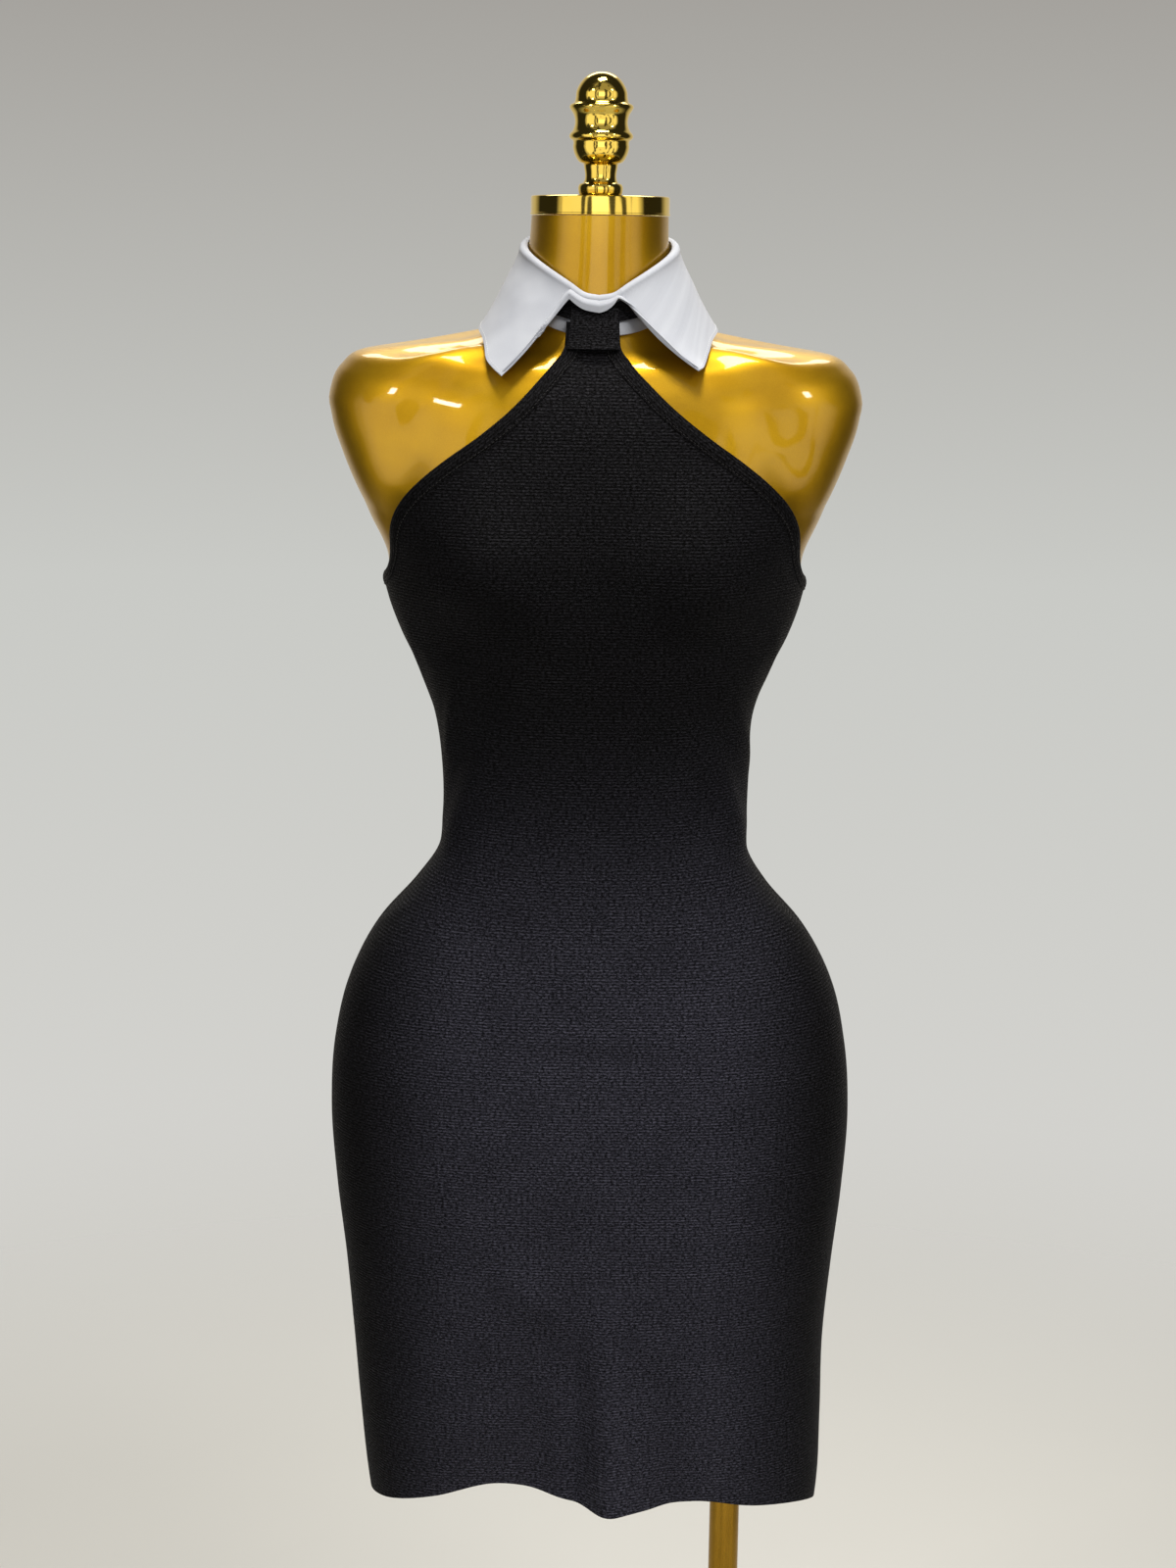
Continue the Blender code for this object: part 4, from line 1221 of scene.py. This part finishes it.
def rib_knit_material(name, rib_pitch, rib_depth, groove_shade, crest_highlight, pulled_lit_heights=NO_PULL_OR_FRONT_LIGHT):
    """Bandage rib knit of black rayon and elastane: grooves in painted shade, and rib tops with broken
    painted highlights.

    Below the two heights the cloth is pulled wider, which opens it and pales it; that paler tone is also
    painted front light, and it fades into painted shade towards the side seams.
    """
    material, shader = new_material(name, {
        "Specular IOR Level": 0.045,
        "Sheen Weight": 0.02,
        "Sheen Roughness": 0.35,
        "Sheen Tint": linear("#aab4cc"),
    })
    cloth = cloth_place(material)
    ribs = bands(material, cloth, rib_pitch, "Y", **{"Distortion": 0.8, "Detail": 2.0, "Detail Scale": 2.5})
    # Loops of about 1 mm, longer along the rib: they break each rib's painted highlight into short glints.
    loops = noise(material, stretched_place(material, cloth, (0.6, 1.0, 1.0)), 1.3, 3.0, 0.8)
    lights = remapped(material, loops, 0.43, 0.64)
    tops = remapped(material, ribs, 0.0, 1.0, 0.42)
    lift = maths(material, "MULTIPLY", tops, lights)
    # The pulled, painted-lit part ends at its upper height and fades into painted shade towards the side
    # seams.
    place = add_node(material, "ShaderNodeSeparateXYZ", {}, {"Vector": cloth}).outputs
    wide = remapped(material, place["Y"], pulled_lit_heights[1], pulled_lit_heights[0], steps="SMOOTHSTEP")
    aside = add_node(material, "ShaderNodeMath", {"operation": "ABSOLUTE"}, {0: place["X"]}).outputs[0]
    facing = remapped(material, aside, *FRONT_LIGHT_ASIDE, steps="SMOOTHSTEP")
    pulled = maths(material, "MULTIPLY", wide, facing)
    # Painted shade in the grooves and painted highlights on the rib tops, both laid into the base colour.
    low = mixed(material, pulled, groove_shade, PULLED_LIT_GROOVE)
    high = mixed(material, pulled, crest_highlight, PULLED_LIT_CREST)
    # Wear and slack change the tone a little over each hand's breadth.
    slack = noise(material, cloth, 38, 2.0)
    faded = remapped(material, slack, 0.3, 0.7, 0.9, 1.1)
    tone = add_node(material, "ShaderNodeVectorMath", {"operation": "SCALE"},
                    {0: mixed(material, lift, low, high), "Scale": faded}).outputs[0]
    return into_shader(material, shader, {
        "Base Color": tone,
        "Roughness": remapped(material, lift, 0.0, 1.0, 0.75, 0.38),
        "Normal": relief(material, weighted(material, loops, 1.2, ribs), 1.0, rib_depth),
    })


def collar_cloth_material():
    """Bonded white polyester crepe, pressed: matte, slightly bluish, with a very fine even grain."""
    material, shader = new_material("pressed white crepe", {
        "Roughness": 0.78,
        "Specular IOR Level": 0.3,
        "Sheen Weight": 0.15,
        "Sheen Roughness": 0.5,
        "Subsurface Weight": 0.06,
        "Subsurface Radius": (0.0012, 0.0011, 0.001),
        "Subsurface Scale": 1.0,
    })
    cloth = cloth_place(material)
    # Threads of 0.35 mm would vanish, so the grain is drawn at 0.8 mm.
    grain = noise(material, cloth, 0.8, 3.0, 0.65)
    twill = bands(material, cloth, 1.2, "DIAGONAL", Distortion=0.6, Detail=2.0)
    soft = noise(material, cloth, 22, 1.0)
    blend = remapped(material, weighted(material, grain, 0.5, soft), 0.5, 1.0)
    return into_shader(material, shader, {
        "Base Color": mixed(material, blend, "#b3b8c3", "#c0c5cf"),
        "Normal": relief(material, weighted(material, twill, 0.35, grain), 0.5, 0.12),
    })


def gilt_lacquer_material():
    """Fibreglass sprayed with gold metallic base under clear lacquer: satin flakes, wet highlights."""
    material, shader = new_material("sprayed gold lacquer", {
        "Metallic": 0.92,
        "Coat Weight": 0.6,
        "Coat Roughness": 0.05,
        "Coat IOR": 1.5,
    })
    place = solid_place(material)
    # Flakes of 0.05 mm would vanish, so they are drawn at 0.7 mm.
    flakes = noise(material, place, 0.7, 2.0, 0.7)
    cloud = noise(material, place, 60, 3.0)
    blend = remapped(material, weighted(material, flakes, 0.6, cloud), 0.55, 1.05)
    return into_shader(material, shader, {
        "Base Color": mixed(material, blend, "#b0850e", "#caa01a"),
        "Roughness": remapped(material, flakes, 0.3, 0.7, 0.38, 0.5),
        "Normal": relief(material, flakes, 0.35, 0.06),
    })


def brass_material(name, colour_low, colour_high, rough_low, rough_high, stretch):
    """Brass plate over turned steel: a warm mirror with faint turning marks and soft wear."""
    material, shader = new_material(name, {"Metallic": 1.0})
    place = solid_place(material)
    marks = noise(material, stretched_place(material, place, stretch), 1.5, 3.0, 0.6)
    handled = noise(material, place, 25, 2.0)
    return into_shader(material, shader, {
        "Base Color": mixed(material, handled, colour_low, colour_high),
        "Roughness": remapped(material, marks, 0.3, 0.7, rough_low, rough_high),
        "Normal": relief(material, marks, 0.15, 0.03),
    })


def thread_material(name, colour_low, colour_high):
    """Spun polyester sewing thread: two plies that twist, a little fuzzy and dull."""
    material, shader = new_material(name, {"Specular IOR Level": 0.3, "Sheen Weight": 0.2, "Roughness": 0.7})
    twist = bands(material, solid_place(material), 0.5, "DIAGONAL", Distortion=1.0)
    return into_shader(material, shader, {
        "Base Color": mixed(material, twist, colour_low, colour_high),
        "Normal": relief(material, twist, 0.5, 0.1),
    })


def button_material():
    """Cast polyester button, tumbled glossy: deep black with a soft depth and faint rub marks."""
    material, shader = new_material("cast black polyester", {
        "Specular IOR Level": 0.5,
        "Coat Weight": 0.4,
        "Coat Roughness": 0.08,
    })
    rubbed = noise(material, solid_place(material), 1.2, 3.0)
    return into_shader(material, shader, {
        "Base Color": mixed(material, rubbed, "#0b0b0c", "#17171a"),
        "Roughness": remapped(material, rubbed, 0.0, 1.0, 0.2, 0.34),
    })


FLOOR_RADIUS = 3.0
FLOOR_FADE = (2.7, 0.8)     # metres from the middle where the floor has gone, and where it is whole
FLOOR_DROP = 0.5            # mm below the plate, so that the two faces don't meet


def floor_material():
    """Pale sealed plaster floor, nearly even, that melts into the wall further out."""
    material, shader = new_material("pale plaster floor", {"Roughness": 0.85, "Specular IOR Level": 0.2})
    place = solid_place(material)
    mottle = add_node(material, "ShaderNodeTexNoise", {"Scale": 1.4, "Detail": 4.0},
                      {"Vector": place}).outputs["Fac"]
    apart = add_node(material, "ShaderNodeVectorMath", {"operation": "LENGTH"}, {0: place}).outputs["Value"]
    return into_shader(material, shader, {
        "Base Color": mixed(material, mottle, "#d2d1cd", "#d8d7d3"),
        "Alpha": remapped(material, apart, *FLOOR_FADE, steps="SMOOTHERSTEP"),
    })


# ---------------------------------------------------------------- room, light and camera

def pale_room():
    """Surroundings: a pale wall to the eye, a dim room for the light it gives, and windows to mirror."""
    world = bpy.data.worlds.new("pale room")
    world.use_nodes = True
    bpy.context.scene.world = world
    way = add_node(world, "ShaderNodeTexCoord", {}, {}).outputs["Generated"]
    parts = add_node(world, "ShaderNodeSeparateXYZ", {}, {"Vector": way}).outputs
    ray = add_node(world, "ShaderNodeLightPath", {}, {}).outputs

    # The light it gives: least in front, more behind, most from above and least from below.
    around = mixed(world, remapped(world, parts["Y"], -0.2, 0.9), "#1d1c1c", "#7e7e7c")
    above = remapped(world, parts["Z"], 0.72, 0.92, steps="SMOOTHSTEP")
    under = remapped(world, parts["Z"], -0.05, -0.5)
    dim = mixed(world, under, mixed(world, above, around, "#e6e2d8"), "#1c1b1a")

    # Tall windows and dark posts in front, and a pale wall behind, which only lacquer and brass mirror.
    tall = stretched_place(world, way, (1.0, 1.0, 0.12))
    streaks = add_node(world, "ShaderNodeTexNoise", {"Scale": 4.2, "Detail": 1.0},
                       {"Vector": tall}).outputs["Fac"]
    panes = remapped(world, streaks, 0.42, 0.49, 0.06)
    ahead = remapped(world, parts["Y"], -0.22, -0.44)
    low = remapped(world, parts["Z"], 0.3, 0.55, 1.0, 0.3)
    windows = maths(world, "MULTIPLY", maths(world, "MULTIPLY", panes, ahead), low)
    behind = remapped(world, parts["Y"], 0.5, 0.75, 0.0, 0.45)
    lit = mixed(world, maths(world, "MAXIMUM", windows, behind), "#272624", "#fff6e4")
    mirrored = add_node(world, "ShaderNodeVectorMath", {"operation": "SCALE", "Scale": 1.4},
                        {0: lit}).outputs[0]
    room = mixed(world, ray["Is Glossy Ray"], dim, mirrored)

    # The wall that the eye sees: palest below, and a little darker higher up.
    lower = mixed(world, remapped(world, parts["Z"], -0.34, -0.12), "#d4d3cf", "#c9cac6")
    wall = mixed(world, remapped(world, parts["Z"], -0.12, 0.1), lower, "#a29f9a")
    seen = mixed(world, ray["Is Camera Ray"], room, wall)
    world.node_tree.links.new(seen, world.node_tree.nodes["Background"].inputs["Color"])


def plaster_floor():
    """Round floor just under the plate."""
    bpy.ops.object.select_all(action="DESELECT")
    bpy.ops.mesh.primitive_circle_add(vertices=128, radius=FLOOR_RADIUS, fill_type="NGON",
                                      location=(0, 0, -FLOOR_DROP * MM))
    floor = bpy.context.object
    floor.name = "floor"
    floor.data.materials.append(floor_material())


def area_light(name, place, aim, width, height, power, colour, spread=180):
    """A soft rectangle of light that points at a place."""
    lamp = bpy.data.lights.new(name, "AREA")
    lamp.shape = "RECTANGLE"
    lamp.size = width
    lamp.size_y = height
    lamp.energy = power
    lamp.color = linear(colour)[:3]
    lamp.spread = math.radians(spread)
    made = bpy.data.objects.new(name, lamp)
    bpy.context.scene.collection.objects.link(made)
    made.location = place
    made.rotation_euler = (Vector(aim) - Vector(place)).to_track_quat("-Z", "Y").to_euler()
    return made


CAMERA_PLACE = (-0.0034, -1.974, 1.437)
CAMERA_TILT = 78.7      # degrees up from straight down
CAMERA_ROLL = 0.75
CAMERA_LENS = 62.15     # mm


def front_camera():
    """Camera at chest height in front of the dress."""
    data = bpy.data.cameras.new("camera")
    data.lens = CAMERA_LENS
    camera = bpy.data.objects.new("camera", data)
    bpy.context.scene.collection.objects.link(camera)
    camera.matrix_world = (
        Matrix.Translation(CAMERA_PLACE)
        @ Matrix.Rotation(math.radians(CAMERA_TILT), 4, "X")
        @ Matrix.Rotation(math.radians(CAMERA_ROLL), 4, "Z")
    )
    bpy.context.scene.camera = camera


# ---------------------------------------------------------------- the dress, its form and the stage

# The two colours of each knit are its grooves in painted shade and its rib tops in painted highlight; the
# first knit also has heights below which its front is paler, partly by painted front light.
knit = rib_knit_material("bandage rib knit", 2.2, 0.3, "#020202", "#2f2f34", (0.84, 1.13))
knit_trim = rib_knit_material("bound edge knit", 1.7, 0.22, "#030303", "#29292d")
knit_plain = rib_knit_material("fine plain knit", 1.2, 0.15, "#040404", "#323237")
collar_cloth = collar_cloth_material()
gilt = gilt_lacquer_material()
polished = brass_material("polished brass plate", "#dcbd52", "#e6cc68", 0.05, 0.1, (0.2, 0.2, 3.0))
satin = brass_material("satin brass plate", "#8d6a1e", "#a07c2c", 0.22, 0.34, (3.0, 3.0, 0.1))
black_thread = thread_material("black polyester thread", "#0a0a0b", "#1d1d20")
white_thread = thread_material("white polyester thread", "#cfd3da", "#eceef2")

front = placed(knit_front(knit), "dress_front")
back = placed(knit_back(knit), "dress_back")
binding_right = placed(armhole_binding("binding_right", 1, knit_trim), "edge_binding_right")
binding_left = placed(armhole_binding("binding_left", -1, knit_trim), "edge_binding_left")
binding_back = placed(back_binding(knit_trim), "edge_binding_back")
tab = placed(neck_tab(knit_plain), "neck_tab")
neck_band = placed(band(knit_plain), "neckband")
placed(band_button(button_material()), "neckband_button")
stand = placed(stand_collar(collar_cloth), "collar_stand")
fall = placed(fall_collar(collar_cloth), "collar_fall")

right_grid, left_grid, back_grid = armhole_binding_grid(1), armhole_binding_grid(-1), back_binding_grid()
stitches_right = binding_stitches("stitches_right", right_grid, right_grid[:, 1], black_thread)
stitches_left = binding_stitches("stitches_left", left_grid, left_grid[:, -2], black_thread)
stitches_back = binding_stitches("stitches_back", back_grid, back_grid[1], black_thread)
stitches_fall = collar_stitches(white_thread)

placed(torso(gilt), "form_body")
on_axis("cap_disc", "neck_cap", CAP, polished)
on_axis("finial_turned", "finial", smooth_profile(FINIAL, FINIAL_RINGS), polished)
on_axis("pole_cup", "pole_socket", SOCKET, polished)
on_axis("pole_collar", "pole_foot_ring", FOOT_RING, polished)
on_axis("round_plate", "base_plate", PLATE, polished)
placed(pole_tube(satin), "pole")

plaster_floor()
pale_room()
key = area_light("key panel", (0.95, -1.5, 3.25), (0, 0, 1.0), 1.1, 0.7, 42, "#fffaf2")
key.visible_glossy = False      # the small panels give the lacquer its glints
area_light("ceiling panel", (0.05, -0.1, 3.3), (0, 0, 1.3), 0.8, 0.5, 5, "#fffaf2", 70)
area_light("front left", (-1.5, -1.6, 2.9), (0, 0, 1.2), 0.25, 0.25, 8, "#fff8ee")
area_light("front right", (1.7, -1.3, 2.9), (0, 0, 1.2), 0.25, 0.25, 7, "#fff8ee")
area_light("front fill", (0.0, -4.2, 1.9), (0, 0, 1.0), 2.0, 1.8, 10, "#f2f4ff")
area_light("floor wash", (0.0, 2.4, 3.4), (0, 1.1, 0), 2.5, 0.8, 22, "#fbfbf8", 110)
front_camera()
bpy.context.scene.view_settings.view_transform = "Standard"
